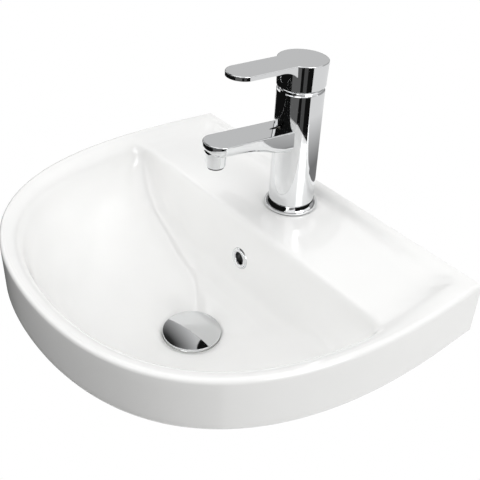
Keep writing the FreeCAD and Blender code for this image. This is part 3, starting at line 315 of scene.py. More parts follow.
outer_plan = half_plan(0.0, 0.0, 0.0)
outer_reach = reach_of(outer_plan)
rim_reach = reach_of(half_plan(RIM_WIDTH, BACK_RIM, LEDGE_CORNER))
print("the rim lies", round(float(rim_reach(0.0)), 1), "mm before the waste and",
      round(float(rim_reach(np.pi)), 1), "mm behind it")

# %% [markdown]
# ## The air over the ware
# Slip-cast ware has no hard inside corners: clay settles and glaze pools, so the ledge, the walls and the
# rim flow into each other. A bevel on the solid can't follow such wide, uneven coves. Here the air over
# the basin is one smooth field: the bowl, the ledge block and the space over the rim are each a signed
# distance, and smooth minimum and maximum join them. Levels count from the rim here.


# %% Soft joins
def smooth_max(a, b, width):
    """The larger of a and b, plus width h h h / 6, where h falls from 1 to 0 as they part by up to width."""
    h = np.maximum(1 - np.abs(a - b) / width, 0)
    return np.maximum(a, b) + width * h * h * h / 6


def smooth_step(share):
    """Eases from 0 to 1 as 3 s s - 2 s s s."""
    s = np.clip(share, 0, 1)
    return s * s * (3 - 2 * s)


def hermite(x, xs, ys):
    """A smooth curve through a table: cubic pieces whose slopes are the table's central differences."""
    slopes = np.gradient(ys, xs)
    i = np.clip(np.searchsorted(xs, x) - 1, 0, len(xs) - 2)
    step = xs[i + 1] - xs[i]
    t = np.clip((x - xs[i]) / step, 0, 1)
    value = ((1 + 2 * t) * (1 - t) ** 2 * ys[i] + t * (1 - t) ** 2 * step * slopes[i]
             + t * t * (3 - 2 * t) * ys[i + 1] + t * t * (t - 1) * step * slopes[i + 1])
    over = np.maximum(x - xs[-1], 0) * slopes[-1]
    return value + over


print("a soft corner of 1 and 1 over a width of 6:", round(float(smooth_max(1.0, 1.0, 6.0)), 2))

# %% The bowl and the rim
BOWL_DEPTH, SEAT_RADIUS = 133.0, 34.0
BOWL_DEPTH_SHARES = np.array([0.0, 0.3, 0.53, 0.71, 0.82, 0.9, 0.952, 1.0])
BOWL_OUT_SHARES = np.array([1.0, 0.908, 0.769, 0.578, 0.347, 0.162, 0.064, 0.0])
SHARE_STEP = 0.01
RIM_ROUND, RIM_ROLL, BACK_ROLL, FLAT_ROLL = 4.5, 19.0, 11.0, 0.5
RIM_FALL, FALL_START, FALL_RUN, FALL_REACH = math.tan(math.radians(9.0)), 20.0, 90.0, 25.0


def bowl_field(x, y, z):
    """Distance outside the bowl: how far a point's reach from the waste passes the wall, by its slope."""
    swing = rim_reach(bearing(x, y)) - SEAT_RADIUS
    share = -z / BOWL_DEPTH
    wall = SEAT_RADIUS + hermite(share, BOWL_DEPTH_SHARES, BOWL_OUT_SHARES) * swing
    nearby = SEAT_RADIUS + hermite(share + SHARE_STEP, BOWL_DEPTH_SHARES, BOWL_OUT_SHARES) * swing
    slope = (wall - nearby) / (SHARE_STEP * BOWL_DEPTH)
    return (np.hypot(x, y + WASTE_SETBACK) - wall) / np.sqrt(1 + slope * slope)


def rim_shape(x, y):
    """The rim's fall towards the bowl, a tanh of the way in, and how widely its inside rolls over."""
    inset = outer_reach(bearing(x, y)) - np.hypot(x, y + WASTE_SETBACK)
    forward = smooth_step((-y - FALL_START) / FALL_RUN)
    fall = RIM_FALL * FALL_REACH * np.tanh(np.maximum(inset - RIM_ROUND, 0) / FALL_REACH) * forward
    nearby = 1 - smooth_step((inset - FALL_REACH) / FALL_REACH)
    return fall, FLAT_ROLL + nearby * (BACK_ROLL - FLAT_ROLL + (RIM_ROLL - BACK_ROLL) * forward)


print("60 mm down, the bowl's wall is", round(-float(bowl_field(0.0, -WASTE_SETBACK, -60.0)), 1), "mm away")

# %% The ledge, and all the air
LEDGE_DROP, LEDGE_SETBACK, LIP_ROUND, WALL_LEAN = 9.0, 107.0, 9.0, math.radians(4.0)
LEDGE_COVE, END_COVE, END_START, END_RUN = 15.0, 32.0, 60.0, 90.0
BOWL_COVE, COVE_RUN = 52.0, 40.0


def air_field(x, y, z):
    """Negative in the air: inside the bowl and out of the ledge block, or above the rim, with soft joins."""
    over_ledge = z + LEDGE_DROP
    off_wall = -(y + LEDGE_SETBACK - over_ledge * np.tan(WALL_LEAN)) * np.cos(WALL_LEAN)
    ledge = smooth_max(over_ledge, off_wall, LIP_ROUND)
    upper = LEDGE_COVE + (END_COVE - LEDGE_COVE) * smooth_step((np.abs(x) - END_START) / END_RUN)
    cove = upper + (BOWL_COVE - upper) * smooth_step((-over_ledge - LIP_ROUND) / COVE_RUN)
    hollow = smooth_max(bowl_field(x, y, z), -ledge, cove)
    fall, roll = rim_shape(x, y)
    return -smooth_max(-hollow, z + fall, roll)


print("air over the seat", round(float(air_field(0.0, -WASTE_SETBACK, -60.0)), 1),
      "in the ledge", round(float(air_field(0.0, -50.0, -20.0)), 1))

# %% [markdown]
# ## The glazed top
# The skin of rim, ledge, bowl and skirt is one piece of glaze. Marching cubes over the field would give it
# stepped edges. Instead the columns of a grid start evenly round the crest of the rim: inwards, rays from an
# eye over the waste find where the air ends, and outwards a plain profile rounds over and falls down the
# skirt.

# %% Columns round the crest of the rim
WALL_COLUMNS, SIDE_COLUMNS = 60, 150
# Less than any step of the plan, so that only the line on the wall lies within it.
HAIR = 1e-6


def crest_columns():
    """Even steps along the crest: the wall line, then the outer plan drawn in by the rim's rounding."""
    side = outer_plan[np.argmax(outer_plan[:, 1] < -HAIR) - 1:]
    along = np.gradient(side, axis=0)
    along /= np.linalg.norm(along, axis=1)[:, None]
    out = np.column_stack([-along[:, 1], along[:, 0]])
    out[0] = (1, 0)
    drawn_in = side - RIM_ROUND * out
    length = np.concatenate([[0], np.cumsum(np.linalg.norm(np.diff(drawn_in, axis=0), axis=1))])
    even = np.linspace(0, length[-1], SIDE_COLUMNS)
    swept = np.column_stack([np.interp(even, length, column) for column in (*drawn_in.T, *out.T)])
    wall = np.linspace(0, 1, WALL_COLUMNS)[:, None] * (drawn_in[0, 0], 0, 0, 0)
    half = np.vstack([wall, swept])
    return np.vstack([half, half[-2:0:-1] * (-1, 1, -1, 1)])


crest = crest_columns()
print("columns", len(crest))

# %% Rays from over the waste, and the skin that they meet
EYE_LEVEL, SEAT_EDGE, FARTHEST = 25.0, 32.2, 420.0
ROWS, ROW_CROWDING, HALVINGS = 200, 1.15, 46


def skin_rows(crest):
    """Points where rays from the eye over the waste leave the air: halve the span where the field turns."""
    turn = bearing(crest[:, 0], crest[:, 1])
    far = np.hypot(crest[:, 0], crest[:, 1] + WASTE_SETBACK)
    first = np.arctan2(EYE_LEVEL, far)
    last = np.arctan2(EYE_LEVEL + BOWL_DEPTH, SEAT_EDGE)
    dip = first + np.linspace(0, 1, ROWS)[:, None] ** ROW_CROWDING * (last - first)
    ahead = np.stack([np.sin(turn) * np.cos(dip), -np.cos(turn) * np.cos(dip), -np.sin(dip)])
    eye = np.array([0, -WASTE_SETBACK, EYE_LEVEL])[:, None, None]
    near = np.zeros_like(dip)
    away = np.full_like(dip, FARTHEST)
    for _ in range(HALVINGS):
        middle = (near + away) / 2
        inside = air_field(*(ahead * middle + eye)) < 0
        near = np.where(inside, middle, near)
        away = np.where(inside, away, middle)
    skin = ahead * near + eye
    skin[:, 0] = np.stack([crest[:, 0], crest[:, 1], np.zeros(len(crest))])
    return skin.transpose(1, 2, 0)


inner = skin_rows(crest)
print("inner rows", inner.shape, "lowest", round(float(inner[..., 2].min()), 1))

# %% The skirt outside, and the throat of the waste
SKIRT_HEIGHT, FOOT_RADIUS, WALL_SKIN, THROAT_DROP = 57.0, 4.0, 0.05, 4.4
BEND_STEPS, SKIRT_STEPS, FOOT_STEPS = 8, 9, 5


def skirt_rows(crest):
    """From the crest outwards: a quarter round, the upright skirt, the round of its foot, and its land."""
    bend = np.linspace(0, np.pi / 2, BEND_STEPS + 1)[1:]
    foot = np.linspace(0, np.pi / 2, FOOT_STEPS + 1)
    straight = np.linspace(-RIM_ROUND, FOOT_RADIUS - SKIRT_HEIGHT, SKIRT_STEPS + 1)[1:-1]
    out = np.concatenate([RIM_ROUND * np.sin(bend), np.full(len(straight), RIM_ROUND),
                          RIM_ROUND - FOOT_RADIUS * (1 - np.cos(foot)), [RIM_ROUND - 2 * FOOT_RADIUS]])
    level = np.concatenate([RIM_ROUND * (np.cos(bend) - 1), straight,
                            FOOT_RADIUS - SKIRT_HEIGHT - (FOOT_RADIUS + WALL_SKIN) * np.sin(foot),
                            [-SKIRT_HEIGHT - WALL_SKIN]])
    spot = crest[None, :, :2] + out[:, None, None] * crest[None, :, 2:]
    return np.concatenate([spot, np.broadcast_to(level[:, None, None], spot.shape[:2] + (1,))], axis=2)


throat = inner[-1:] * (1, 1, 0) + np.array([0, 0, -BOWL_DEPTH - THROAT_DROP])
ware = np.concatenate([skirt_rows(crest)[::-1], inner, throat])
print("rows", ware.shape, "lowest", round(float(ware[..., 2].min()), 1))

# %% A grid becomes a mesh
SEAM = 0.002


def mesh_piece(name, spots, faces):
    """Puts points in millimetres and their faces into a mesh in metres, on an object at the origin."""
    mesh = bpy.data.meshes.new(name)
    mesh.from_pydata(spots * MM, [], faces.tolist())
    piece = bpy.data.objects.new(name, mesh)
    bpy.context.scene.collection.objects.link(piece)
    return piece


def grid_piece(name, grid, keep=None, closed_rows=True):
    """Joins each point of the grid to the next in its row and the next row: four corners a face."""
    rows, columns = grid.shape[:2]
    number = np.arange(rows * columns).reshape(rows, columns)
    right = np.roll(number, -1, axis=1) if closed_rows else number[:, 1:]
    base = number if closed_rows else number[:, :-1]
    faces = np.stack([base[:-1], base[1:], right[1:], right[:-1]], axis=-1).reshape(-1, 4)
    if keep is not None:
        faces = faces[keep(grid.reshape(-1, 3)[faces].mean(1))]
    used, faces = np.unique(faces, return_inverse=True)
    piece = mesh_piece(name, grid.reshape(-1, 3)[used], faces.reshape(-1, 4))
    whole = bmesh.new()
    whole.from_mesh(piece.data)
    bmesh.ops.remove_doubles(whole, verts=whole.verts, dist=SEAM * MM)
    whole.to_mesh(piece.data)
    whole.free()
    piece.data.shade_smooth()
    return piece


def dress(piece, slot):
    """Gives a new piece the finish of its slot, and lets it ride on the body that hangs on the wall."""
    piece.data.materials.append(FINISHES[slot])
    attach(piece, "basin")
    print(piece.name, "has", len(piece.data.polygons), "faces")


print("points nearer than", SEAM, "mm become one")

# %% The glazed top, open at its holes
TAP_SETBACK, TAP_HOLE, OVERFLOW_DROP, OVERFLOW_HOLE, OVERFLOW_ROOM = 44.5, 17.5, 57.5, 9.9, 12.0
LIFT = np.array([0, 0, RIM_LEVEL])


def outside_holes(spots):
    """False for faces flat on the wall, over the tap hole and inside the overflow's ring."""
    x, y, z = spots.T
    wall = y > -WALL_SKIN
    tap = np.hypot(x, y + TAP_SETBACK) < TAP_HOLE
    bowl_back = np.abs(y + LEDGE_SETBACK + (OVERFLOW_DROP - LEDGE_DROP) * np.tan(WALL_LEAN)) < OVERFLOW_ROOM
    return ~wall & ~tap & ~(bowl_back & (np.hypot(x, OVERFLOW_DROP + z) < OVERFLOW_HOLE))


glazed_top = grid_piece("glazed_top", ware + LIFT, lambda spots: outside_holes(spots - LIFT))
dress(glazed_top, "glazed_ware")

# %% [markdown]
# ## The edge on the wall
# The skin ends at the wall, where the real ware turns in as a thick edge. Without it the ends of the skirt
# would look paper-thin from behind. Filling the whole back would hide the hollow, so a narrow strip runs
# inwards from each open edge, just off the wall.

# %% Close the skin against the wall
EDGE_WIDTH, EDGE_DEPTH, ON_WALL = 12.0, 2 * WALL_SKIN, 4 * WALL_SKIN


def wall_edge(skin):
    """Finds the edges on the wall with one face only, and runs a strip from each towards the mid-back."""
    mesh = skin.data
    spots, ends = np.empty(len(mesh.vertices) * 3), np.empty(len(mesh.edges) * 2, dtype=int)
    used = np.empty(len(mesh.loops), dtype=int)
    mesh.vertices.foreach_get("co", spots)
    mesh.edges.foreach_get("vertices", ends)
    mesh.loops.foreach_get("edge_index", used)
    spots, ends = spots.reshape(-1, 3) / MM, ends.reshape(-1, 2)
    single = np.bincount(used, minlength=len(ends)) == 1
    outer = spots[ends[single & (spots[ends][:, :, 1] > -ON_WALL).all(1)]]
    inward = np.array([0, -EDGE_DEPTH, RIM_LEVEL - SKIRT_HEIGHT / 2]) - outer
    strip = outer + inward * np.minimum(EDGE_WIDTH / np.linalg.norm(inward, axis=2, keepdims=True), 1)
    strip[:, :, 1] = -EDGE_DEPTH
    corners = np.stack([outer[:, 0], outer[:, 1], strip[:, 1], strip[:, 0]], axis=1)
    facing = np.cross(corners[:, 1] - corners[:, 0], corners[:, 3] - corners[:, 0])[:, 1]
    corners = np.where(facing[:, None, None] < 0, corners[:, ::-1], corners).reshape(-1, 3)
    return mesh_piece("glazed_wall_edge", corners, np.arange(len(corners)).reshape(-1, 4))


dress(wall_edge(glazed_top), "glazed_ware")

# %% [markdown]
# ## The underside
# What the wall and the floor see of the ware is the solid's own shape: the hollow back, the panel, the webs
# and the overflow duct. Modelling them again would gain nothing. A copy of the solid's mesh keeps those
# faces and drops the ones that the skin covers.

# %% Which faces of the solid the skin covers
# How near a covered face lies to the skin, in mm, and which way it faces.
FIELD_STEP, SKIN_NEAR, SKIN_FACING, NO_SLOPE = 0.5, 8.0, -0.4, 1e-9
SOLID_ROUND, ROUND_ROOM, SKIRT_ROOM, FOOT_ROOM = 7.0, 2.0, 1.2, 0.6
WALL_ROOM, LEVEL_ROOM, LAND_ROOM, UPWARD, DOWNWARD = 0.3, 0.2, 0.1, 0.9, -0.98


def covered(centre, normal):
    """True for faces that lie on the skin: near the edge of the air and facing it, or round the skirt."""
    x, y, z = centre.T
    value = air_field(x, y, z)
    slope = np.stack([air_field(x + FIELD_STEP, y, z) - value, air_field(x, y + FIELD_STEP, z) - value,
                      air_field(x, y, z + FIELD_STEP) - value], axis=1)
    slope /= np.maximum(np.linalg.norm(slope, axis=1), NO_SLOPE)[:, None]
    inside = (np.abs(value) < SKIN_NEAR) & ((slope * normal).sum(1) < SKIN_FACING)
    inset = outer_reach(bearing(x, y)) - np.hypot(x, y + WASTE_SETBACK)
    skirt = (inset < SKIRT_ROOM) & (normal[:, 2] < UPWARD)
    rolled = (inset < SOLID_ROUND + ROUND_ROOM) & (z > -SOLID_ROUND - LEVEL_ROOM)
    foot = (inset < FOOT_RADIUS + FOOT_ROOM) & (z < FOOT_RADIUS - SKIRT_HEIGHT) & (normal[:, 2] > DOWNWARD)
    outside = (skirt | rolled | foot) & (z > -SKIRT_HEIGHT - LAND_ROOM)
    return (y < -WALL_ROOM) & (z > -BOWL_DEPTH - LEVEL_ROOM) & (inside | outside)


skirt_front = covered(np.array([[0.0, -DEPTH, -SKIRT_HEIGHT / 2]]), np.array([[0.0, -1.0, 0.0]]))
print("the skin covers the front of the skirt:", bool(skirt_front[0]))

# %% Copy the solid without its covered faces
CREASE, MERGE_DIGITS, NO_AREA = math.radians(32), 4, 1e-12


def underside():
    """Reads the solid's points and faces, keeps the faces that aren't covered, and merges the seams."""
    source = nodes["basin_body"].data
    spots = np.empty(len(source.vertices) * 3)
    source.vertices.foreach_get("co", spots)
    spots = spots.reshape(-1, 3)
    corners = np.empty(len(source.polygons) * 3, dtype=int)
    source.polygons.foreach_get("vertices", corners)
    corners = corners.reshape(-1, 3)
    a, b, c = (spots[corners[:, i]] for i in range(3))
    normal = np.cross(b - a, c - a)
    normal /= np.maximum(np.linalg.norm(normal, axis=1), NO_AREA)[:, None]
    kept = corners[~covered((a + b + c) / 3 / MM - LIFT, normal)]
    merged, place = np.unique(np.round(spots / MM, MERGE_DIGITS), axis=0, return_inverse=True)
    faces = place.reshape(-1)[kept]
    faces = faces[(faces != np.roll(faces, -1, axis=1)).all(1)]
    piece = mesh_piece("glazed_underside", merged, faces)
    piece.data.shade_smooth()
    piece.data.set_sharp_from_angle(angle=CREASE)
    return piece


glazed_underside = underside()
dress(glazed_underside, "glazed_ware")
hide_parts("basin_body")
print("the solid had", len(nodes["basin_body"].data.polygons), "faces")

# %% [markdown]
# ## The base ring and the nozzle
# Two small chrome shapes carry most of the tap's character: the ring that swells out round its foot, and
# the nozzle that grows out of the spout's tip. A lathe profile or a loft could make them too, but the nozzle
# leans and tapers at once. Here each is a stack of circles whose radius, level and place follow tables,
# joined by smooth interpolation, so that the polished skin bends without a break.

# %% Circles in a stack
LEDGE_LEVEL = RIM_LEVEL - LEDGE_DROP
TABLE_STEPS, AROUND, PLATE_CREASE = 6, 96, math.radians(50)


def fine(values):
    """Runs a cubic through a table: a slope is the harmonic mean of the steps beside it, or 0 at a turn."""
    table = np.asarray(values)
    step = np.diff(table)
    before, after = step[:-1], step[1:]
    slope = np.zeros(len(table))
    same = before * after > 0
    slope[1:-1][same] = 2 * before[same] * after[same] / (before + after)[same]
    place = np.linspace(0, len(table) - 1, (len(table) - 1) * TABLE_STEPS + 1)
    row = np.minimum(place.astype(int), len(table) - 2)
    t = place - row
    return (table[row] + smooth_step(t) * step[row]
            + t * (1 - t) ** 2 * slope[row] - t * t * (1 - t) * slope[row + 1])


def circle_stack(name, radii, reaches, levels):
    """Stacks circles over the ledge: each has a radius, a reach forward from the tap's axis, and a level."""
    turn = np.linspace(0, 2 * math.pi, AROUND, endpoint=False)[None, :]
    radius, reach, level = (np.asarray(column)[:, None] for column in (radii, reaches, levels))
    x, y, z = radius * np.sin(turn), -TAP_SETBACK - reach - radius * np.cos(turn), LEDGE_LEVEL + level
    piece = grid_piece(name, np.stack(np.broadcast_arrays(x, y, z), axis=-1))
    piece.data.set_sharp_from_angle(angle=PLATE_CREASE)
    dress(piece, "chrome_plate")
    return piece


print("a table of 3 rows gives", len(fine([0.0, 1.0, 3.0])), "circles")

# %% The base ring and the nozzle
RING_RADII = [24.06, 24.35, 24.7, 25.6, 26.6, 27.5, 28.15, 28.45, 28.5, 28.5,
              28.42, 28.3, 16.4, 16.3, 16.3, 16.4, 23.9, 24.06, 24.06]
RING_LEVELS = [8.9, 8.9, 8.7, 7.75, 6.6, 5.35, 4.2, 3.2, 2.2, 1.4,
               1.25, 1.2, 1.2, 1.3, 7.85, 7.95, 7.95, 8.05, 8.9]
NOZZLE_LEVELS = [99.6, 96.0, 92.5, 89.0, 85.0, 81.0, 78.6, 78.15, 77.95, 77.9, 77.9]
NOZZLE_FRONTS = [113.75, 113.7, 113.45, 112.95, 112.2, 111.5, 111.25, 111.15, 110.95, 110.7, 110.3]
NOZZLE_BACKS = [90.4, 90.5, 90.7, 91.0, 91.3, 91.6, 91.75, 91.85, 92.05, 92.3, 92.7]

ring_radii = fine(RING_RADII)
base_ring = circle_stack("swelling_base_ring", ring_radii, np.zeros(len(ring_radii)), fine(RING_LEVELS))
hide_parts("tap_base_ring")
fronts, backs = fine(NOZZLE_FRONTS), fine(NOZZLE_BACKS)
circle_stack("spout_nozzle", (fronts - backs) / 2, (fronts + backs) / 2, fine(NOZZLE_LEVELS))

# %% [markdown]
# ## The spout's flanks
# Near the barrel the spout has flat upright sides that turn under with a small round, and further out they
# thin away into its belly. The solid's loft has a rounder belly. A sweep with several sections would do it
# too. Here the section is a formula, an upright side, a quadratic round and a parabola, and tables along the
# spout say how deep each stretch goes. The skin wraps the solid and dives into it at both ends.

# %% The spout's flanks
SPOUT_ROOT, SPOUT_RISE, EDGE_ROOM = 95.0, 8.0 / 97.5, 1.6
TURN_UNDER, TURN_SHARE, SIDE_STEPS, BELLY_STEPS = 3.0, 0.2, 6, 12
FLANK_REACHES = [10.0, 20.0, 30.0, 38.0, 44.0, 50.0, 56.0, 62.0, 68.0]
FLANK_HALVES = [16.56, 16.56, 16.56, 16.56, 16.56, 16.56, 16.56, 16.5, 16.2]
FLANK_CORNERS = [76.5, 77.3, 78.0, 79.4, 81.8, 84.8, 87.0, 88.9, 91.4]
FLANK_KEELS = [64.0, 68.5, 72.5, 75.2, 77.1, 78.9, 80.5, 82.2, 84.2]


def flank_section(half, top, corner, keel):
    """One side of each section, from the top down to the keel: straight, then a round, then a parabola."""
    down = np.linspace(0, 1, SIDE_STEPS + 1)[:-1]
    side = [np.broadcast_to(half, (len(half), SIDE_STEPS)), top + (corner + TURN_UNDER - top) * down]
    start, end = half * (1 - TURN_SHARE), keel + (corner - keel) * (1 - TURN_SHARE) ** 2
    turn = [half * (1 - down ** 2) + start * down ** 2,
            (corner + TURN_UNDER) * (1 - down) ** 2 + 2 * corner * down * (1 - down) + end * down ** 2]
    left = (1 - TURN_SHARE) * (1 - np.linspace(0, 1, BELLY_STEPS + 1))
    belly = [half * left, keel + (corner - keel) * left ** 2]
    return [np.concatenate(part, axis=1) for part in zip(side, turn, belly)]


reach, half, corner, keel = (fine(table)[:, None] for table in (FLANK_REACHES, FLANK_HALVES,
                                                                FLANK_CORNERS, FLANK_KEELS))
across, level = flank_section(half, SPOUT_ROOT + SPOUT_RISE * reach - EDGE_ROOM, corner, keel)
across = np.concatenate([across, -across[:, -2::-1]], axis=1)
level = np.concatenate([level, level[:, -2::-1]], axis=1)
sections = np.stack(np.broadcast_arrays(across, -TAP_SETBACK - reach, LEDGE_LEVEL + level), axis=-1)
dress(grid_piece("spout_flanks", sections, closed_rows=False), "chrome_plate")

# %% [markdown]
# ## Stage and light
# The portrait is a white studio: a pale floor far below, and soft lamps from above, in front, both sides and
# behind. One bright dome would flatten the white ware, so a dark screen stands low in front and gives its
# edges some shade. The floor and the world are plain white where they are seen, and dimmer as light.


# %% Floor and world
def plain_sight(tree):
    """Gives 1 for rays from the camera, off gloss or through clear stuff, and 0 for soft light."""
    path = add(tree, "ShaderNodeLightPath").outputs
    first = add(tree, "ShaderNodeMath", {0: path["Is Camera Ray"], 1: path["Is Glossy Ray"]},
                operation="ADD", use_clamp=True)
    both = add(tree, "ShaderNodeMath", {0: first.outputs[0], 1: path["Is Transmission Ray"]},
               operation="ADD", use_clamp=True)
    return both.outputs[0]


def backdrop_paint(name, colour):
    """A matt paint that turns to plain white where it is seen, not lit from."""
    material, tree, shader, _ = finish(name, colour, Roughness=0.9)
    glow = add(tree, "ShaderNodeEmission", Strength=1.0)
    mix = add(tree, "ShaderNodeMixShader", {0: plain_sight(tree), 1: shader.outputs[0], 2: glow.outputs[0]})
    tree.links.new(mix.outputs[0], tree.nodes["Material Output"].inputs["Surface"])
    return material


def card(name, centre, facing, width, height, material):
    """A flat sheet of four corners round a centre, square to the direction it faces, in metres."""
    turn = Vector(facing).normalized().to_track_quat("Z", "Y").to_matrix()
    half = np.array([(-1, -1), (1, -1), (1, 1), (-1, 1)]) * (width / 2, height / 2)
    corners = [Vector(centre) + turn @ Vector((x, y, 0)) for x, y in half]
    mesh = bpy.data.meshes.new(name)
    mesh.from_pydata(corners, [], [(0, 1, 2, 3)])
    mesh.materials.append(material)
    sheet = bpy.data.objects.new(name, mesh)
    bpy.context.scene.collection.objects.link(sheet)
    return sheet


FLOOR_LEVEL, FLOOR_WIDTH, WORLD_LIGHT = -0.75, 12, 0.37
floor_paint = backdrop_paint("pale_floor_paint", "#F4F4F2")
card("pale_floor", (0, 0, FLOOR_LEVEL), (0, 0, 1), FLOOR_WIDTH, FLOOR_WIDTH, floor_paint)
world = bpy.data.worlds.new("white_studio")
bpy.context.scene.world = world
world.use_nodes = True
tree = world.node_tree
strength = add(tree, "ShaderNodeMapRange", {"Value": plain_sight(tree)}, To_Min=WORLD_LIGHT, To_Max=1.0)
tree.links.new(strength.outputs["Result"], tree.nodes["Background"].inputs["Strength"])
tree.nodes["Background"].inputs["Color"].default_value = (1, 1, 1, 1)
bpy.context.scene.view_settings.view_transform = "Standard"
print("floor and world are white")

# %% The dark screen in front
SCREEN_RADIUS, SCREEN_LEVELS, SCREEN_FADE = 620.0, (-740.0, 70.0), (110.0, 560.0)
SCREEN_SPAN, SCREEN_POINTS = (-112, 62), 59


def dyed_felt():
    """Black felt that pales towards the right, over a span along X."""
    felt, tree, shader, spot = finish("dyed_felt", "#0B0B0C", Roughness=1.0)
    along = add(tree, "ShaderNodeSeparateXYZ", {0: spot}).outputs["X"]
    fade = add(tree, "ShaderNodeMapRange", {"Value": along}, From_Min=SCREEN_FADE[0] * MM,
               From_Max=SCREEN_FADE[1] * MM)
    dye = add(tree, "ShaderNodeMix", {"Factor": fade.outputs["Result"]}, data_type="RGBA")
    dye.inputs["A"].default_value = linear("#0B0B0C")
    dye.inputs["B"].default_value = linear("#F0F0F0")
    tree.links.new(dye.outputs[2], shader.inputs["Base Color"])
    return felt


turn = np.radians(np.linspace(*SCREEN_SPAN, SCREEN_POINTS))[None, :]
upright = np.broadcast_arrays(SCREEN_RADIUS * np.sin(turn), -SCREEN_RADIUS * np.cos(turn) - WASTE_SETBACK,
                              np.array(SCREEN_LEVELS)[:, None])
screen = grid_piece("front_screen", np.stack(upright, axis=-1), closed_rows=False)
screen.data.materials.append(dyed_felt())
screen.visible_camera = False
print("screen from", SCREEN_SPAN[0], "to", SCREEN_SPAN[1], "degrees")


# %% Lamps
def lamp(name, place, aim, size, power, mirrored=True):
    """A square softbox that points from its place to its aim, and shows in reflections or doesn't."""
    light = bpy.data.lights.new(name, "AREA")
    light.size = size
    light.energy = power
    softbox = bpy.data.objects.new(name, light)
    softbox.location = place
    softbox.rotation_mode = "QUATERNION"
    softbox.rotation_quaternion = (Vector(aim) - Vector(place)).to_track_quat("-Z", "Y")
    softbox.visible_glossy = mirrored
    bpy.context.scene.collection.objects.link(softbox)


BOWL_AIM, SKIRT_AIM = (0, -0.2, 0), (0, -0.2, 0.05)
lamp("top_softbox", (0.0, -0.3, 1.5), BOWL_AIM, 1.6, 4.4)
lamp("front_softbox", (0.0, -1.0, 1.2), BOWL_AIM, 1.4, 6.2)
lamp("right_softbox", (1.7, 0.0, 0.7), SKIRT_AIM, 1.0, 12.2)
lamp("left_softbox", (-1.2, -1.2, 0.7), SKIRT_AIM, 1.0, 6.2, mirrored=False)
lamp("back_softbox", (0.0, 0.7, 1.2), BOWL_AIM, 1.2, 6.4, mirrored=False)
print("lamps:", len(bpy.data.lights))

# %% [markdown]
# ## Flags for the chrome
# Polished chrome only shows what stands around it, and in a white studio it turns white on white. Dark and
# grey flags round the tap give it the bands of the photograph, as in a real studio. Painting the bands on
# would fail from other sides. Only reflections see the flags, so they throw no light and no shadow.

# %% Paint and shapes for flags
FLAG_LEVEL, ARC_POINTS, RING_POINTS = 72.0, 41, 13


def glow_paint(name, low, high=None, measure="", span=()):
    """A glow on the front only: plain, or climbing over a span in mm, away from the tap or along Y."""
    material = bpy.data.materials.new(name)
    material.use_nodes = True
    tree = material.node_tree
    tree.nodes.remove(tree.nodes["Principled BSDF"])
    glow = add(tree, "ShaderNodeEmission", Strength=low)
    if measure:
        spot = add(tree, "ShaderNodeTexCoord").outputs["Object"]
        if measure == "along Y":
            reading = add(tree, "ShaderNodeSeparateXYZ", {0: spot}).outputs["Y"]
        else:
            away = add(tree, "ShaderNodeVectorMath", {0: spot}, operation="DISTANCE")
            away.inputs[1].default_value = (0, -TAP_SETBACK * MM, FLAG_LEVEL * MM)
            reading = away.outputs["Value"]
        climb = add(tree, "ShaderNodeMapRange", {"Value": reading}, From_Min=span[0] * MM,
                    From_Max=span[1] * MM, To_Min=low, To_Max=high)
        tree.links.new(climb.outputs["Result"], glow.inputs["Strength"])
    clear = add(tree, "ShaderNodeBsdfTransparent")
    behind = add(tree, "ShaderNodeNewGeometry").outputs["Backfacing"]
    mix = add(tree, "ShaderNodeMixShader", {0: behind, 1: glow.outputs[0], 2: clear.outputs[0]})
    tree.links.new(mix.outputs[0], tree.nodes["Material Output"].inputs["Surface"])
    return material


def reflected_only(sheet):
    """Keeps a flag out of sight of the camera, the soft light and the shadows: it lives in reflections."""
    sheet.visible_camera = sheet.visible_diffuse = sheet.visible_shadow = False


def tap_flag(name, bearings, radius, level, paint, least_y=-math.inf):
    """A sheet round the tap's axis, by bearing in degrees, radius and level, with y no less than a limit."""
    turn = np.radians(bearings)[None, :]
    x, y = radius * np.sin(turn), np.maximum(-radius * np.cos(turn) - TAP_SETBACK, least_y)
    sheet = grid_piece(name, np.stack(np.broadcast_arrays(x, y, level), axis=-1), closed_rows=False)
    sheet.data.materials.append(paint)
    reflected_only(sheet)


def ring_flag(name, span, edge, far, paint, least_y=-math.inf):
    """A flat flag at one level, from an edge that is a table of bearings and radii out to a far radius."""
    bearings = np.linspace(*span, ARC_POINTS)
    near = np.interp(bearings, *edge)
    radius = near + np.linspace(0, 1, RING_POINTS)[:, None] * (far - near)
    tap_flag(name, bearings, radius, FLAG_LEVEL, paint, least_y)


def band_flag(name, span, radii, levels, paint):
    """A band between two circles round the tap, seen from inside and below: two radii and two levels."""
    rows = [np.array(column)[:, None] for column in (radii, levels)]
    tap_flag(name, np.linspace(*span, ARC_POINTS), *rows, paint)


print("flags lie", round(FLAG_LEVEL - LEDGE_LEVEL, 1), "mm over the ledge")

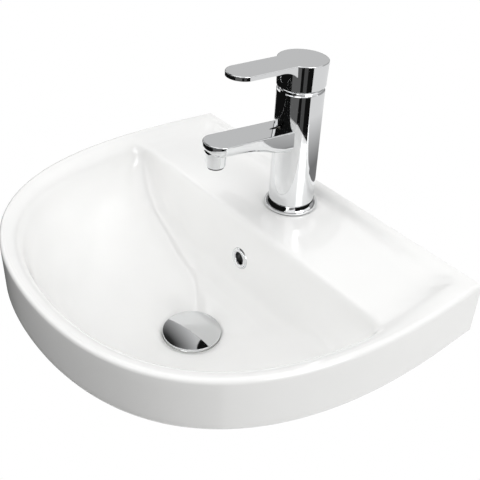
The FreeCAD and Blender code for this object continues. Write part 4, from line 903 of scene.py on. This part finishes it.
# %% Flags round the tap and over it
BLACK_GLOW = 0.006
BOWL_FLAG_FAR = 1600.0
BOWL_FLAG_EDGE = ([-150.0, -88.0, -10.0, 12.0, 48.0, 99.0], [185.0, 196.0, 222.0, 231.0, 215.0, 165.0])
BOWL_SECTORS = [(-150, 8, BLACK_GLOW), (8, 46, 0.12), (46, 58, BLACK_GLOW), (58, 74, 0.07),
                (74, 99, BLACK_GLOW)]
for number, (first, last, shade) in enumerate(BOWL_SECTORS):
    ring_flag(f"bowl_flag_{number}", (first, last), BOWL_FLAG_EDGE, BOWL_FLAG_FAR,
              glow_paint(f"bowl_flag_felt_{number}", shade))

WALL_SPAN, WALL_FLAG_NEAR, WALL_FLAG_FAR, BEHIND_EDGE = (80, 280), (30.0, 30.0), 620.0, 4.0
# The wall flag glows dimmer near the tap and brighter out to 230 mm. That is painted shade, a contact shadow
# round the tap, seen only in the chrome's reflections.
wall_glow_with_painted_shade = glow_paint("wall_flag_felt", 0.2, 0.8, "from the tap", (95.0, 230.0))
ring_flag("wall_flag", WALL_SPAN, (WALL_SPAN, WALL_FLAG_NEAR), WALL_FLAG_FAR, wall_glow_with_painted_shade, BEHIND_EDGE)

BANDS = [("front_sky_flag", (-68, 30), (400.0, 400.0), (290.0, 600.0), BLACK_GLOW),
         ("left_collar_flag", (-80, 30), (95.0, 30.0), (86.0, 86.0), BLACK_GLOW),
         ("right_collar_flag", (66, 165), (56.0, 30.0), (86.0, 86.0), BLACK_GLOW),
         ("horizon_flag", (-180, 180), (1620.0, 1620.0), (72.0, 460.0), 0.22)]
for name, span, radii, levels, shade in BANDS:
    band_flag(name, span, radii, levels, glow_paint(name + "_felt", shade))

roof_paint = glow_paint("roof_flag_felt", 0.02, 0.6, "along Y", (270.0, 520.0))
ceiling_paint = glow_paint("ceiling_flag_felt", 0.2, 0.75, "along Y", (-900.0, 1600.0))
back_paint = glow_paint("back_flag_felt", 0.4)
CARDS = [("roof_flag", (-1.02, 0.64, 1.01), (0.683, -0.453, -0.573), 1.5, 1.5, roof_paint),
         ("ceiling_flag", (0, 0.2, 1.9), (0, 0, -1), 3.0, 3.0, ceiling_paint),
         ("back_flag", (0, 2.1, 1.15), (0, -1, 0), 3.2, 1.7, back_paint)]
for settings in CARDS:
    reflected_only(card(*settings))
print("flags:", len(BOWL_SECTORS), "over the bowl, 1 at the wall,", len(BANDS), "bands,", len(CARDS), "cards")
